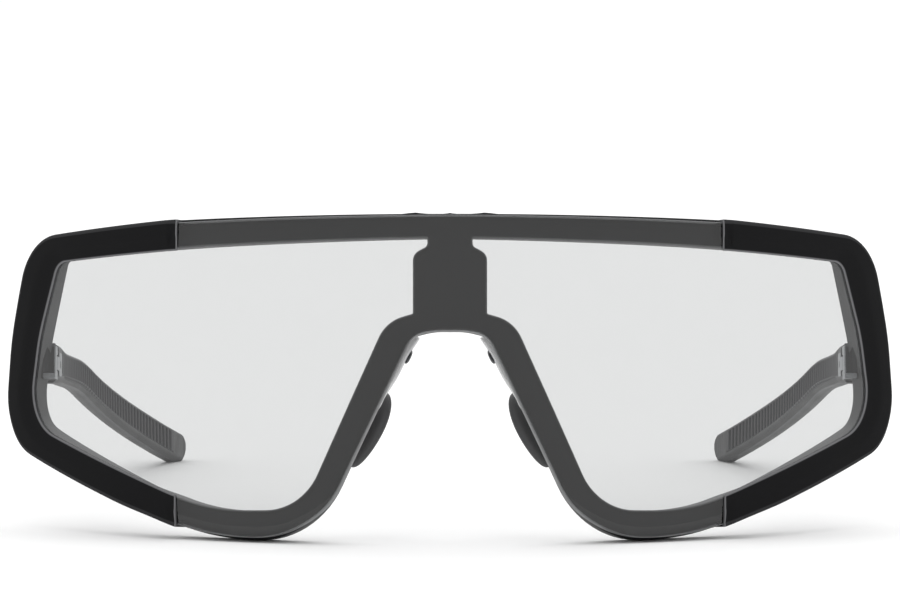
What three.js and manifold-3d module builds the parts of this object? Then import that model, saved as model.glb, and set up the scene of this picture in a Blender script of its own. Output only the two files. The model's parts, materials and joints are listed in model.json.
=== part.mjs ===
// Wraparound sport sunglasses with one shield lens, modelled as an assembly in millimetres, +Z up.
// They stand open on a flat surface, on the two lowest stretches of the rim and on both temple tips.
// +Y runs from the lens to the temple tips, and +X is the wearer's left.
//
// The front is worked out in its own upright frame: u is the distance along the wrap of the lens from
// the middle, v the height above the lens's top edge, and w the depth from the lens's outer surface
// towards the face. The whole assembly then leans back until the temple tips touch the ground.

import * as THREE from "three";
import { mergeVertices } from "three/addons/utils/BufferGeometryUtils.js";
import Module from "manifold-3d";

const wasm = await Module();
wasm.setup();

// Driving dimensions
const WRAP_RADIUS = 92; // plan radius of the wrap at depth 0
const LEAN = THREE.MathUtils.degToRad(6.5); // how far the upright front leans back at rest
const FIT = 0.15; // clearance between pieces that sit against each other
const LENS_FRONT = 0.5; // depth of the lens's outer surface
const LENS_THICKNESS = 2;
const CHASSIS_THICKNESS = 3.3;
const COVER_FRONT = -0.5; // the covers' faces stand a little forward of the lens
const COVER_WALL = 0.9; // cover wall round the outer edge
const COVER_DEPTH = 4.6; // how far that wall reaches towards the face
const LENS_SETBACK = 0.35; // the chassis shows this much past the lens's edge
const SEAM_U = 44.4; // where the covers meet the bare middle of the front
const LONGEST_STEP = 4; // along an outline
const LARGEST_ARC_STEP = 0.4; // radians, round a corner
const FLOOR_TRIM = 0.12; // taken off the lowest stretches to give true resting flats

const LENS_BACK = LENS_FRONT + LENS_THICKNESS;
const CHASSIS_FRONT = LENS_BACK + FIT;
const CHASSIS_BACK = CHASSIS_FRONT + CHASSIS_THICKNESS;

// Outlines as corners [u, v, corner radius], on the +X side. The front's runs just past the middle, so
// that it overlaps its mirror image.
const FRONT_CORNERS = [
  [-4, 0, 0.1],
  [46, -0.25, 60],
  [75.9, -1.6, 9],
  [80.4, -17.5, 40],
  [82.1, -32.9, 10],
  [39.4, -50.05, 46],
  [20.5, -50.05, 15],
  [5.4, -18.6, 4.5],
  [-4, -18.6, 0.1],
];
// The chassis stands back a little from the lens along the nose, so that its back edge hides behind it
const NOSE_RELIEF = 0.4;
const CHASSIS_CORNERS = FRONT_CORNERS.map(([u, v, radius], i) => {
  return i === 6 || i === 7 ? [u + NOSE_RELIEF, v, radius] : [u, v, radius];
});
const APERTURE_CORNERS = [
  [3.6, -3.75, 0.2],
  [40, -4.3, 60],
  [73.1, -4.95, 1.5],
  [77.9, -18.5, 30],
  [80.1, -29.6, 6],
  [40.3, -45.45, 40],
  [23.8, -45.45, 9.5],
  [10.7, -17.15, 4],
  [5.9, -15.4, 0.3],
  [5.9, -6.2, 1.7],
  [3.6, -5, 0.8],
];
const COVER_WINDOW_CORNERS = [
  [40, -4.95, 0.2],
  [68.9, -5.8, 2.5],
  [73.4, -17.4, 30],
  [76, -30.9, 8],
  [40, -44.85, 0.2],
];

// Hinge, in the upright frame: the pin is upright, just behind the rim
const HINGE = new THREE.Vector3(65.4, 38.1, -21.1);
const KNUCKLE_RADIUS = 1.5;
const HINGE_BORE_RADIUS = 0.72;
const HINGE_HALF = 2.7; // half the height of the whole hinge
const TANG_HALF = 1.1; // half the height of the temple's knuckle, between the chassis's two
const TANG_PLATE_HALF = 1.9;
const TANG_STEP_Y = 40;
const TANG_REAR_Y = 44.6;
const TANG_INNER_X = 63.9;
const TANG_OUTER_X = 66.9;
const INNER_CUT_X = 62; // well inboard of the temple
const RIVET_Y = 42.5;
const RIVET_RADIUS = 0.5;
const RIVET_HOLE_RADIUS = 0.62;

// Temple, in the upright frame: a slim arm, straight at first, then dropping and curving in
const TEMPLE_START_Y = 38.35;
const TEMPLE_END_Y = 153.4;
const TEMPLE_INNER_X = 64; // inner face at the hinge
const TEMPLE_TOE_IN = 12.7; // how far the tip comes in
const TOE_IN_POWER = 2.3;
const TEMPLE_DROP_Y = 75.5; // where the drop is centred
const TEMPLE_DROP_BLEND = 16;
const TEMPLE_DROP_SLOPE = 0.1425;
const TEMPLE_THICKNESS_FRONT = 3.9;
const TEMPLE_THICKNESS_TIP = 3.2;
const TEMPLE_HALF_HEIGHT = 2.5;
const TEMPLE_REAR_HALF_HEIGHT = 2.9;
const TEMPLE_HINGE_HALF_HEIGHT = 3.1;
const TIP_RISE = 0.3; // the tip is rounded more below than above, as a share of the rounding
const GRIP_START_Y = 46.2;
const GRIP_END_Y = 145.8;
const GRIP_HALF_HEIGHT = 2.05;
const GRIP_TOP_MARGIN = 0.3; // the grip sits in the upper part of the temple's inner face
const GRIP_DEPTH = 0.95;

// Nose pads, in the upright frame
const FLANK_ANGLE = THREE.MathUtils.degToRad(25); // slope of the nose arch's sides
const PAD_SPLAY = THREE.MathUtils.degToRad(28); // how far the pads turn towards the face
const PAD_CENTRE = new THREE.Vector3(12.8, 15.7, -32.7);
const PAD_HALF = new THREE.Vector3(3.7, 6.5, 1.7); // half width, half length, half thickness
const PAD_TAPER = 0.2; // wider above than below, as a share of the half width
const PAD_PIVOT_DEPTH = -2.4; // pivot pin behind the pad's middle
const ARM_SCREW = new THREE.Vector3(6.95, 8.6, -21.5);

// Low tabs along the chassis's top edge that hold the lens down: [u, height]
const LENS_TABS = [
  [-5.6, 0.2],
  [0, 0.1],
  [5.6, 0.2],
];
const LENS_TAB_RADIUS = 6;

const COVER_SCREW_SPOTS = [
  ["upper", 52, -2.9],
  ["lower", 52, -42.9],
];
const SCREW_HOLE_END = 0.6; // depth at which the hole in a cover's boss ends

const UP = new THREE.Vector3(0, 0, 1);

// ---- solids ----

function toSolid(geometry, matrix = new THREE.Matrix4()) {
  const loose = geometry.index ? geometry.toNonIndexed() : geometry;
  const bare = new THREE.BufferGeometry();
  bare.setAttribute("position", loose.getAttribute("position").clone());
  const merged = mergeVertices(bare.applyMatrix4(matrix), 1e-4);
  const mesh = new wasm.Mesh({
    numProp: 3,
    vertProperties: merged.attributes.position.array,
    triVerts: new Uint32Array(merged.index.array),
  });
  return new wasm.Manifold(mesh);
}

function toGeometry(solid) {
  const { vertProperties, triVerts } = solid.getMesh();
  const geometry = new THREE.BufferGeometry();
  geometry.setAttribute("position", new THREE.BufferAttribute(vertProperties, 3));
  geometry.setIndex(new THREE.BufferAttribute(triVerts, 1));
  geometry.computeVertexNormals();
  return geometry;
}

// A closed body through rings of points, each ring with the same number of points. The end rings are
// capped by the triangles of capOutline, or by a fan where they are convex.
function loft(rings, capOutline) {
  const count = rings[0].length;
  const last = (rings.length - 1) * count;
  const faces = [];
  for (let start = 0; start < last; start += count) {
    for (let i = 0; i < count; i++) {
      const a = start + i;
      const b = start + ((i + 1) % count);
      faces.push([a, b, b + count], [a, b + count, a + count]);
    }
  }
  const fan = rings[0].slice(2).map((point, i) => [0, i + 1, i + 2]);
  const cap = capOutline ? THREE.ShapeUtils.triangulateShape(capOutline, []) : fan;
  if (capOutline && THREE.ShapeUtils.isClockWise(capOutline)) cap.forEach((face) => face.reverse());
  for (const [a, b, c] of cap) faces.push([c, b, a], [a + last, b + last, c + last]);

  const points = rings.flat();
  const volume = faces.reduce((sum, [a, b, c]) => {
    return sum + points[a].dot(new THREE.Vector3().crossVectors(points[b], points[c]));
  }, 0);
  if (volume < 0) faces.forEach((face) => face.reverse());
  const geometry = new THREE.BufferGeometry().setFromPoints(points);
  geometry.setIndex(faces.flat());
  return toSolid(geometry);
}

function box(from, to) {
  const size = new THREE.Vector3().subVectors(to, from);
  const middle = new THREE.Vector3().addVectors(from, to).multiplyScalar(0.5);
  return toSolid(new THREE.BoxGeometry(size.x, size.y, size.z).translate(...middle));
}

// A cylinder along the local Z axis, from one height to another
function rod(radius, from, to, matrix, sides = 16) {
  const cylinder = new THREE.CylinderGeometry(radius, radius, to - from, sides);
  cylinder.rotateX(Math.PI / 2).translate(0, 0, (from + to) / 2);
  return toSolid(cylinder, matrix);
}

// A slotted cheese-head screw along local Z: its head ends at headTop and its shank starts at tail
function screw({ tail, seat, headTop, shankRadius, headRadius, matrix }) {
  const profile = [
    [0, tail],
    [shankRadius, tail],
    [shankRadius, seat],
    [headRadius, seat],
    [headRadius, headTop - 0.12],
    [headRadius - 0.12, headTop],
    [0, headTop],
  ].map(([radius, height]) => new THREE.Vector2(radius, height));
  const turned = new THREE.LatheGeometry(profile, 14).rotateX(Math.PI / 2);
  const slot = new THREE.BoxGeometry(headRadius * 4, headRadius * 0.28, 0.5).translate(0, 0, headTop);
  return toSolid(turned, matrix).subtract(toSolid(slot, matrix));
}

// ---- outlines and the wrap ----

function spread(from, to, count) {
  return Array.from({ length: count + 1 }, (unused, i) => THREE.MathUtils.lerp(from, to, i / count));
}

function edgeDirection(corners, i) {
  const from = corners.at(i);
  const to = corners[(i + 1) % corners.length];
  return new THREE.Vector2(to[0] - from[0], to[1] - from[1]).normalize();
}

// The same corners moved inwards by a distance, each edge staying parallel to itself
function inset(corners, distance) {
  const area = corners.reduce((sum, [u, v], i) => {
    const [nextU, nextV] = corners[(i + 1) % corners.length];
    return sum + u * nextV - nextU * v;
  }, 0);
  const side = Math.sign(area);
  return corners.map(([u, v, radius], i) => {
    const before = edgeDirection(corners, i - 1);
    const after = edgeDirection(corners, i);
    const turn = before.cross(after);
    const shift = (distance * side) / turn;
    const convex = Math.sign(turn) === side;
    return [
      u + (after.x - before.x) * shift,
      v + (after.y - before.y) * shift,
      Math.max(0.2, radius + (convex ? -distance : distance)),
    ];
  });
}

// Points along a closed outline: an arc at each corner, and straight stretches between them, which are
// split where they slope because the wrap bends them
function outlinePoints(corners) {
  const points = [];
  corners.forEach(([u, v, radius], i) => {
    const corner = new THREE.Vector2(u, v);
    const before = edgeDirection(corners, i - 1);
    const after = edgeDirection(corners, i);
    const turn = Math.atan2(before.cross(after), before.dot(after));
    const reach = radius * Math.tan(Math.abs(turn) / 2);
    const start = corner.clone().addScaledVector(before, -reach);
    const toCentre = new THREE.Vector2(-before.y, before.x).multiplyScalar(Math.sign(turn) * radius);
    const centre = start.clone().add(toCentre);
    const byAngle = Math.abs(turn) / LARGEST_ARC_STEP;
    const byLength = (radius * Math.abs(turn)) / LONGEST_STEP;
    const steps = Math.ceil(Math.max(2, byAngle, byLength));
    for (let k = 0; k <= steps; k++) {
      points.push(start.clone().rotateAround(centre, (turn * k) / steps));
    }
  });
  return points.flatMap((point, i) => {
    const next = points[(i + 1) % points.length];
    const slopes = Math.abs(point.x - next.x) > 1e-6 && Math.abs(point.y - next.y) > 1e-6;
    const steps = slopes ? Math.ceil(point.distanceTo(next) / LONGEST_STEP) : 1;
    return Array.from({ length: steps }, (unused, k) => point.clone().lerp(next, k / steps));
  });
}

function onWrap(u, v, w) {
  const angle = u / WRAP_RADIUS;
  const radius = WRAP_RADIUS - w;
  return new THREE.Vector3(radius * Math.sin(angle), WRAP_RADIUS - radius * Math.cos(angle), v);
}

// The frame at a place on the wrap: local Z points towards the face
function wrapMatrix(u, v) {
  const angle = u / WRAP_RADIUS;
  const along = new THREE.Vector3(Math.cos(angle), Math.sin(angle), 0);
  const inward = new THREE.Vector3(-Math.sin(angle), Math.cos(angle), 0);
  return new THREE.Matrix4().makeBasis(along, UP.clone().negate(), inward).setPosition(onWrap(u, v, 0));
}

// A sheet that follows the wrap between two depths, larger than the front
function wrapSlab(outerW, innerW) {
  const columns = 40;
  const rings = [];
  for (let i = 0; i <= columns; i++) {
    const u = THREE.MathUtils.lerp(-90, 90, i / columns);
    rings.push([onWrap(u, 4, outerW), onWrap(u, 4, innerW), onWrap(u, -54, innerW), onWrap(u, -54, outerW)]);
  }
  return loft(rings);
}

// A cutter whose walls stand square to the wrap all along an outline, between two flat ends. The rings
// in between keep its twisted walls true.
function wrapPrism(corners) {
  const outline = outlinePoints(corners);
  const rings = spread(-8, 52, 10).map((y) => {
    return outline.map(({ x: u, y: v }) => {
      const x = (WRAP_RADIUS - y) * Math.tan(u / WRAP_RADIUS);
      return new THREE.Vector3(x, y, v);
    });
  });
  return loft(rings, rings[0].map((point) => new THREE.Vector2(point.x, point.z)));
}

const sideZone = (fromU) => wrapPrism([[fromU, 6, 0.1], [89, 6, 0.1], [89, -56, 0.1], [fromU, -56, 0.1]]);

function flipX(solid) {
  const geometry = toGeometry(solid).scale(-1, 1, 1);
  const index = geometry.index.array;
  for (let i = 0; i < index.length; i += 3) [index[i + 1], index[i + 2]] = [index[i + 2], index[i + 1]];
  return toSolid(geometry);
}

const bothSides = (solid) => solid.add(flipX(solid));

// ---- the front ----

// Outline of a piece that fills the middle of the front and steps in under the covers
function steppedFront(corners, middleInset, sideInset) {
  const middle = wrapPrism(inset(corners, middleInset)).subtract(sideZone(SEAM_U - FIT));
  return bothSides(middle.add(wrapPrism(inset(corners, sideInset))));
}

function makeLens() {
  const outline = steppedFront(FRONT_CORNERS, LENS_SETBACK, COVER_WALL + 2 * FIT);
  const sheet = wrapSlab(LENS_FRONT, LENS_BACK).intersect(outline);
  return COVER_SCREW_SPOTS.reduce((lens, [, u, v]) => {
    return lens.subtract(bothSides(rod(1.3, LENS_FRONT - 1, LENS_BACK + 1, wrapMatrix(u, v))));
  }, sheet);
}

// The chassis lies behind the lens: a rim round both openings with a broad middle block
function makeChassis() {
  const apertures = bothSides(wrapPrism(APERTURE_CORNERS));
  const outline = steppedFront(CHASSIS_CORNERS, 0, COVER_WALL + FIT);
  let chassis = wrapSlab(CHASSIS_FRONT, CHASSIS_BACK).intersect(outline).subtract(apertures);
  for (const [, u, v] of COVER_SCREW_SPOTS) {
    const throughHole = rod(0.65, CHASSIS_FRONT - 1, CHASSIS_BACK + 1, wrapMatrix(u, v));
    const counterbore = rod(1.25, CHASSIS_BACK - 0.75, CHASSIS_BACK + 1, wrapMatrix(u, v));
    chassis = chassis.subtract(bothSides(throughHole.add(counterbore)));
  }
  for (const [u, height] of LENS_TABS) chassis = chassis.add(lensTab(u, height));
  return chassis.add(bothSides(hingeLug())).add(bothSides(noseLug())).subtract(belowFloor());
}

function lensTab(u, height) {
  const turned = wrapMatrix(u, height - LENS_TAB_RADIUS);
  const disc = rod(LENS_TAB_RADIUS, CHASSIS_FRONT, CHASSIS_BACK, turned, 48);
  return disc.intersect(box(new THREE.Vector3(-20, -2, -1), new THREE.Vector3(20, 12, 1)));
}

// The chassis's two knuckles, on a plate that grows out of the back of the rim
function hingeLug() {
  const web = new THREE.Shape(
    [
      [65.9, 34.3],
      [TANG_OUTER_X, 36.4],
      [TANG_OUTER_X, HINGE.y],
      [TANG_INNER_X, HINGE.y],
      [TANG_INNER_X + 0.3, 36.2],
      [65.1, 34.8],
    ].map(([x, y]) => new THREE.Vector2(x, y)),
  );
  const plate = new THREE.ExtrudeGeometry(web, { depth: 2 * HINGE_HALF, bevelEnabled: false });
  plate.translate(0, 0, HINGE.z - HINGE_HALF);
  const at = new THREE.Matrix4().setPosition(HINGE);
  const slot = rod(KNUCKLE_RADIUS + 0.25, -TANG_HALF - FIT, TANG_HALF + FIT, at);
  const slotMouth = box(
    new THREE.Vector3(INNER_CUT_X, HINGE.y, HINGE.z - TANG_HALF - FIT),
    new THREE.Vector3(69, HINGE.y + 2, HINGE.z + TANG_HALF + FIT),
  );
  const foldRoom = box(
    new THREE.Vector3(INNER_CUT_X, HINGE.y - KNUCKLE_RADIUS - FIT, HINGE.z - TANG_HALF - FIT),
    new THREE.Vector3(HINGE.x, HINGE.y + 0.1, HINGE.z + TANG_HALF + FIT),
  );
  return toSolid(plate)
    .add(rod(KNUCKLE_RADIUS, -HINGE_HALF, HINGE_HALF, at))
    .subtract(slot.add(slotMouth).add(foldRoom))
    .subtract(rod(HINGE_BORE_RADIUS, -5, 5, at));
}

// Frames whose local Z is square to the nose arch's side, and to the pad's face
const flankDown = new THREE.Vector3(Math.sin(FLANK_ANGLE), 0, -Math.cos(FLANK_ANGLE));
const flankInward = new THREE.Vector3(-Math.cos(FLANK_ANGLE), 0, -Math.sin(FLANK_ANGLE));
const padNormal = flankInward.clone().multiplyScalar(Math.cos(PAD_SPLAY)).setY(Math.sin(PAD_SPLAY));
const padAcross = new THREE.Vector3().crossVectors(flankDown, padNormal);
const padMatrix = new THREE.Matrix4().makeBasis(padAcross, flankDown, padNormal).setPosition(PAD_CENTRE);
const armScrewMatrix = new THREE.Matrix4()
  .makeBasis(new THREE.Vector3().crossVectors(flankDown, flankInward), flankDown, flankInward)
  .setPosition(ARM_SCREW);
const ARM_HALF_THICKNESS = 0.55;

// The boss on the back of the rim that a nose arm is screwed to, outboard of the arm
function noseLug() {
  const block = new THREE.BoxGeometry(4.9, 4.2, 2.2);
  block.translate(0, 0, -ARM_HALF_THICKNESS - FIT - 1.1);
  const depthShift = new THREE.Matrix4().makeTranslation(0, -0.55, 0.2);
  const hole = rod(0.5, -4, 1, armScrewMatrix);
  return toSolid(block, armScrewMatrix.clone().premultiply(depthShift)).subtract(hole);
}

// Everything below the surface that the glasses stand on, as seen from the upright frame
function belowFloor() {
  const floor = new THREE.BoxGeometry(300, 400, 40).translate(0, 0, -20);
  const down = new THREE.Matrix4().makeTranslation(0, 0, -FLOOR_LEVEL);
  const upright = new THREE.Matrix4().makeRotationX(LEAN);
  return toSolid(floor, upright.multiply(down));
}

function makeCover() {
  const zone = sideZone(SEAM_U);
  const outer = wrapPrism(FRONT_CORNERS).intersect(zone);
  const inner = wrapPrism(inset(FRONT_CORNERS, COVER_WALL));
  const hollow = wrapSlab(LENS_FRONT - FIT, CHASSIS_BACK + 2).intersect(inner);
  let cover = wrapSlab(COVER_FRONT, COVER_DEPTH).intersect(outer);
  cover = cover.subtract(hollow).subtract(wrapPrism(COVER_WINDOW_CORNERS));
  for (const [, u, v] of COVER_SCREW_SPOTS) {
    const boss = rod(1.1, 0, LENS_BACK, wrapMatrix(u, v));
    cover = cover.add(boss).subtract(rod(0.6, SCREW_HOLE_END, LENS_BACK + 1, wrapMatrix(u, v)));
  }
  return cover;
}

const coverScrew = (u, v) =>
  screw({
    tail: SCREW_HOLE_END + FIT,
    seat: CHASSIS_BACK - 0.65,
    headTop: CHASSIS_BACK - 0.05,
    shankRadius: 0.48,
    headRadius: 1.1,
    matrix: wrapMatrix(u, v),
  });

// ---- the temple ----

function templeInnerX(y) {
  const share = Math.max(0, y - 40.5) / (TEMPLE_END_Y - 40.5);
  return TEMPLE_INNER_X - TEMPLE_TOE_IN * share ** TOE_IN_POWER;
}

// Half the arm's height: taller round the hinge, and growing again towards the rear
function templeHalfHeight(y) {
  const front = THREE.MathUtils.smoothstep(y, 43, 53);
  const rear = THREE.MathUtils.smoothstep(y, TEMPLE_DROP_Y, TEMPLE_END_Y - TEMPLE_DROP_BLEND);
  const forward = THREE.MathUtils.lerp(TEMPLE_HINGE_HALF_HEIGHT, TEMPLE_HALF_HEIGHT, front);
  return forward + (TEMPLE_REAR_HALF_HEIGHT - TEMPLE_HALF_HEIGHT) * rear;
}

// Height of the arm's top edge: level at first, then dropping, with all the growth above the middle line
function templeTopV(y) {
  const into = THREE.MathUtils.clamp(y - TEMPLE_DROP_Y + TEMPLE_DROP_BLEND / 2, 0, TEMPLE_DROP_BLEND);
  const past = Math.max(0, y - TEMPLE_DROP_Y - TEMPLE_DROP_BLEND / 2);
  const line = HINGE.z - TEMPLE_DROP_SLOPE * (into ** 2 / (2 * TEMPLE_DROP_BLEND) + past);
  const growth = y > TEMPLE_DROP_Y ? templeHalfHeight(y) - TEMPLE_HALF_HEIGHT : 0;
  return line + templeHalfHeight(y) + growth;
}

function templeThickness(y) {
  const share = (y - TEMPLE_START_Y) / (TEMPLE_END_Y - TEMPLE_START_Y);
  const thickness = THREE.MathUtils.lerp(TEMPLE_THICKNESS_FRONT, TEMPLE_THICKNESS_TIP, share);
  const atHinge = 1 - THREE.MathUtils.smoothstep(y, 42, 56);
  return thickness + 0.8 * atHinge;
}

// A bar that follows the temple: at each place its section is a rectangle with cut corners
function templeBar(places, section) {
  const rings = places.map((y) => {
    const { inner, outer, middle, half, corner } = section(y);
    const v = middle;
    const point = (x, height) => new THREE.Vector3(x, y, v + height);
    return [
      [inner + corner, half],
      [inner + corner * 0.3, half - corner * 0.3],
      [inner, half - corner],
      [inner, corner - half],
      [inner + corner * 0.3, corner * 0.3 - half],
      [inner + corner, -half],
      [outer - corner, -half],
      [outer - corner * 0.3, corner * 0.3 - half],
      [outer, corner - half],
      [outer, half - corner],
      [outer - corner * 0.3, half - corner * 0.3],
      [outer - corner, half],
    ].map(([x, height]) => point(x, height));
  });
  return loft(rings);
}

function gripSection(clearance) {
  return (y) => ({
    inner: templeInnerX(y) - (clearance ? 0.6 : 0.05),
    outer: templeInnerX(y) + GRIP_DEPTH + clearance,
    middle: templeTopV(y) - GRIP_TOP_MARGIN - GRIP_HALF_HEIGHT,
    half: GRIP_HALF_HEIGHT + clearance,
    corner: 0.25,
  });
}

const gripPlaces = (extra) => spread(GRIP_START_Y - extra, GRIP_END_Y + extra, 20);

function makeTemple() {
  const tipRounding = 0.75 * TEMPLE_REAR_HALF_HEIGHT;
  const tipStart = TEMPLE_END_Y - tipRounding;
  const places = [...spread(TEMPLE_START_Y, 56, 7), ...spread(60, tipStart, 20)];
  places.push(...[0.35, 0.65, 0.87, 0.99].map((share) => tipStart + tipRounding * share));
  const arm = templeBar(places, (y) => {
    const intoTip = Math.max(0, y - tipStart) / tipRounding;
    const full = templeHalfHeight(y);
    const half = full - tipRounding * (1 - Math.sqrt(1 - intoTip ** 2));
    const inner = templeInnerX(y);
    return {
      inner,
      outer: inner + templeThickness(y),
      middle: templeTopV(y) - full + TIP_RISE * (full - half),
      half,
      corner: Math.min(0.9, half * 0.6),
    };
  });
  const cutTop = HINGE.z + 10;
  const cutBottom = HINGE.z - 10;
  const pocket = box(
    new THREE.Vector3(INNER_CUT_X, 36, HINGE.z - TANG_PLATE_HALF - FIT),
    new THREE.Vector3(TANG_OUTER_X + FIT, TANG_REAR_Y + FIT, HINGE.z + TANG_PLATE_HALF + FIT),
  );
  const knuckleRoom = box(
    new THREE.Vector3(INNER_CUT_X, 36, cutBottom),
    new THREE.Vector3(TANG_OUTER_X + FIT, TANG_STEP_Y, cutTop),
  );
  return arm
    .subtract(pocket)
    .subtract(knuckleRoom)
    .subtract(rod(RIVET_HOLE_RADIUS, -8, 8, rivetMatrix))
    .subtract(templeBar(gripPlaces(FIT), gripSection(FIT)))
    .subtract(belowFloor());
}

// The metal tang let into the temple's front end, with the knuckle that fits between the chassis's two
function makeTang() {
  const side = new THREE.Shape();
  side.moveTo(HINGE.y, -TANG_HALF);
  side.lineTo(TANG_STEP_Y + 0.4, -TANG_HALF);
  side.lineTo(TANG_STEP_Y + 0.4, -TANG_PLATE_HALF);
  side.absarc(TANG_REAR_Y - 1, 1 - TANG_PLATE_HALF, 1, -Math.PI / 2, 0);
  side.absarc(TANG_REAR_Y - 1, TANG_PLATE_HALF - 1, 1, 0, Math.PI / 2);
  side.lineTo(TANG_STEP_Y + 0.4, TANG_PLATE_HALF);
  side.lineTo(TANG_STEP_Y + 0.4, TANG_HALF);
  side.lineTo(HINGE.y, TANG_HALF);
  const depth = TANG_OUTER_X - TANG_INNER_X;
  const plate = new THREE.ExtrudeGeometry(side, { depth, bevelEnabled: false, curveSegments: 5 });
  const turned = new THREE.Matrix4().makeBasis(new THREE.Vector3(0, 1, 0), UP, new THREE.Vector3(1, 0, 0));
  const at = new THREE.Matrix4().setPosition(HINGE);
  return toSolid(plate, turned.setPosition(TANG_INNER_X, 0, HINGE.z))
    .add(rod(KNUCKLE_RADIUS, -TANG_HALF, TANG_HALF, at))
    .subtract(rod(HINGE_BORE_RADIUS, -5, 5, at))
    .subtract(rod(RIVET_HOLE_RADIUS, -8, 8, rivetMatrix));
}

const hingeScrew = () =>
  screw({
    tail: -HINGE_HALF - 0.05,
    seat: HINGE_HALF + 0.1,
    headTop: HINGE_HALF + 0.55,
    shankRadius: 0.6,
    headRadius: 1.15,
    matrix: new THREE.Matrix4().setPosition(HINGE),
  });

// The rivet that holds the tang in the temple, across the arm
const rivetMatrix = new THREE.Matrix4()
  .makeBasis(new THREE.Vector3(0, 1, 0), UP, new THREE.Vector3(1, 0, 0))
  .setPosition(TEMPLE_INNER_X, RIVET_Y, HINGE.z);
const tangRivet = () => rod(RIVET_RADIUS, -0.05, 4.4, rivetMatrix);

// ---- the nose pieces ----

// A leaf that lies along the nose arch, then swings back to the eyelet behind the pad
function makeNoseArm() {
  const onPad = (across, down, out) => new THREE.Vector3(across, down, out).applyMatrix4(padMatrix);
  const curve = new THREE.CatmullRomCurve3([
    new THREE.Vector3(5.15, 8.6, -18.6),
    ARM_SCREW.clone().add(new THREE.Vector3(0.05, 0, 0)),
    new THREE.Vector3(9, 8.7, -25.3),
    new THREE.Vector3(11.8, 9.3, -28.9),
    onPad(0, 0, -4.5),
    onPad(0, 0, PAD_PIVOT_DEPTH),
  ]);
  const stations = 14;
  const rings = [];
  for (let i = 0; i <= stations; i++) {
    const share = i / stations;
    const middle = curve.getPoint(share);
    const along = curve.getTangent(share);
    const narrowing = THREE.MathUtils.smoothstep(share, 0.45, 0.78);
    const halfDepth = THREE.MathUtils.lerp(1.9, 0.5, narrowing);
    const depthWay = new THREE.Vector3(0, 1, 0).lerp(padAcross.clone().negate(), narrowing);
    const thin = new THREE.Vector3().crossVectors(along, depthWay).normalize();
    const deep = new THREE.Vector3().crossVectors(thin, along).normalize();
    rings.push(
      [
        [1, 0.6],
        [0.6, 1],
        [-0.6, 1],
        [-1, 0.6],
        [-1, -0.6],
        [-0.6, -1],
        [0.6, -1],
        [1, -0.6],
      ].map(([a, b]) => {
        return middle
          .clone()
          .addScaledVector(thin, a * ARM_HALF_THICKNESS)
          .addScaledVector(deep, b * halfDepth);
      }),
    );
  }
  const eyelet = rod(0.9, -0.55, 0.55, padPivotMatrix);
  return loft(rings)
    .add(eyelet)
    .subtract(rod(0.5, -2, 2, padPivotMatrix))
    .subtract(rod(0.62, -3, 3, armScrewMatrix));
}

const armScrew = () =>
  screw({
    tail: -2.6,
    seat: ARM_HALF_THICKNESS + 0.1,
    headTop: ARM_HALF_THICKNESS + 0.5,
    shankRadius: 0.4,
    headRadius: 0.85,
    matrix: armScrewMatrix,
  });

// The pivot pin runs across the pad: local Z of this frame is along the pin
const padPivotMatrix = padMatrix
  .clone()
  .multiply(new THREE.Matrix4().makeTranslation(0, 0, PAD_PIVOT_DEPTH))
  .multiply(new THREE.Matrix4().makeRotationY(Math.PI / 2));

// A soft pad: an egg-shaped cushion, flat behind, with a pocket for its core
function makeNosePad() {
  const rows = 8;
  const columns = 18;
  const rings = [];
  for (let i = 0; i <= rows; i++) {
    const height = THREE.MathUtils.lerp(-1, 1, (i + 0.5) / (rows + 1));
    const half = Math.sqrt(1 - Math.abs(height) ** 2.4);
    const ring = [];
    for (let k = 0; k < columns; k++) {
      const angle = (2 * Math.PI * k) / columns;
      const down = Math.sin(angle);
      const taper = 1 - PAD_TAPER * down;
      ring.push(
        new THREE.Vector3(
          Math.cos(angle) * PAD_HALF.x * half * taper,
          down * PAD_HALF.y * half,
          Math.max(-1.35, height * PAD_HALF.z),
        ),
      );
    }
    rings.push(ring);
  }
  const cushion = loft(rings);
  const pocket = box(new THREE.Vector3(-2.1, -4.1, -3), new THREE.Vector3(2.1, 4.1, -0.3));
  return cushion.subtract(pocket);
}

// The stiff core in the pad, with two ears that hold the pin
function makePadCore() {
  const plate = box(new THREE.Vector3(-1.95, -3.95, -1.3), new THREE.Vector3(1.95, 3.95, -0.42));
  const ear = box(new THREE.Vector3(0.7, -1.1, PAD_PIVOT_DEPTH - 0.9), new THREE.Vector3(1.5, 1.1, -1.2));
  const pinWay = new THREE.Matrix4().makeTranslation(0, 0, PAD_PIVOT_DEPTH);
  pinWay.multiply(new THREE.Matrix4().makeRotationY(Math.PI / 2));
  return plate.add(bothSides(ear)).subtract(rod(0.48, -3, 3, pinWay));
}

const padPin = () => rod(0.38, -1.55, 1.55, padPivotMatrix, 16);

// ---- materials and assembly ----

const material = (color, roughness, metalness = 0) =>
  new THREE.MeshStandardMaterial({ color, roughness, metalness });
const clearLens = new THREE.MeshStandardMaterial({
  color: 0xe9ecee,
  roughness: 0.05,
  transparent: true,
  opacity: 0.25,
});
const chassisPlastic = material(0x1d1d1e, 0.45);
const coverPlastic = material(0x151516, 0.7);
const templePlastic = material(0x3d3d3f, 0.55);
const gripRubber = material(0x333335, 0.8);
const padRubber = material(0x2b2b2c, 0.75);
const padCorePlastic = material(0x242425, 0.5);
const hingeSteel = material(0x9a9c9f, 0.35, 1);
const screwSteel = material(0x5b5d60, 0.35, 1);

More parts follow.
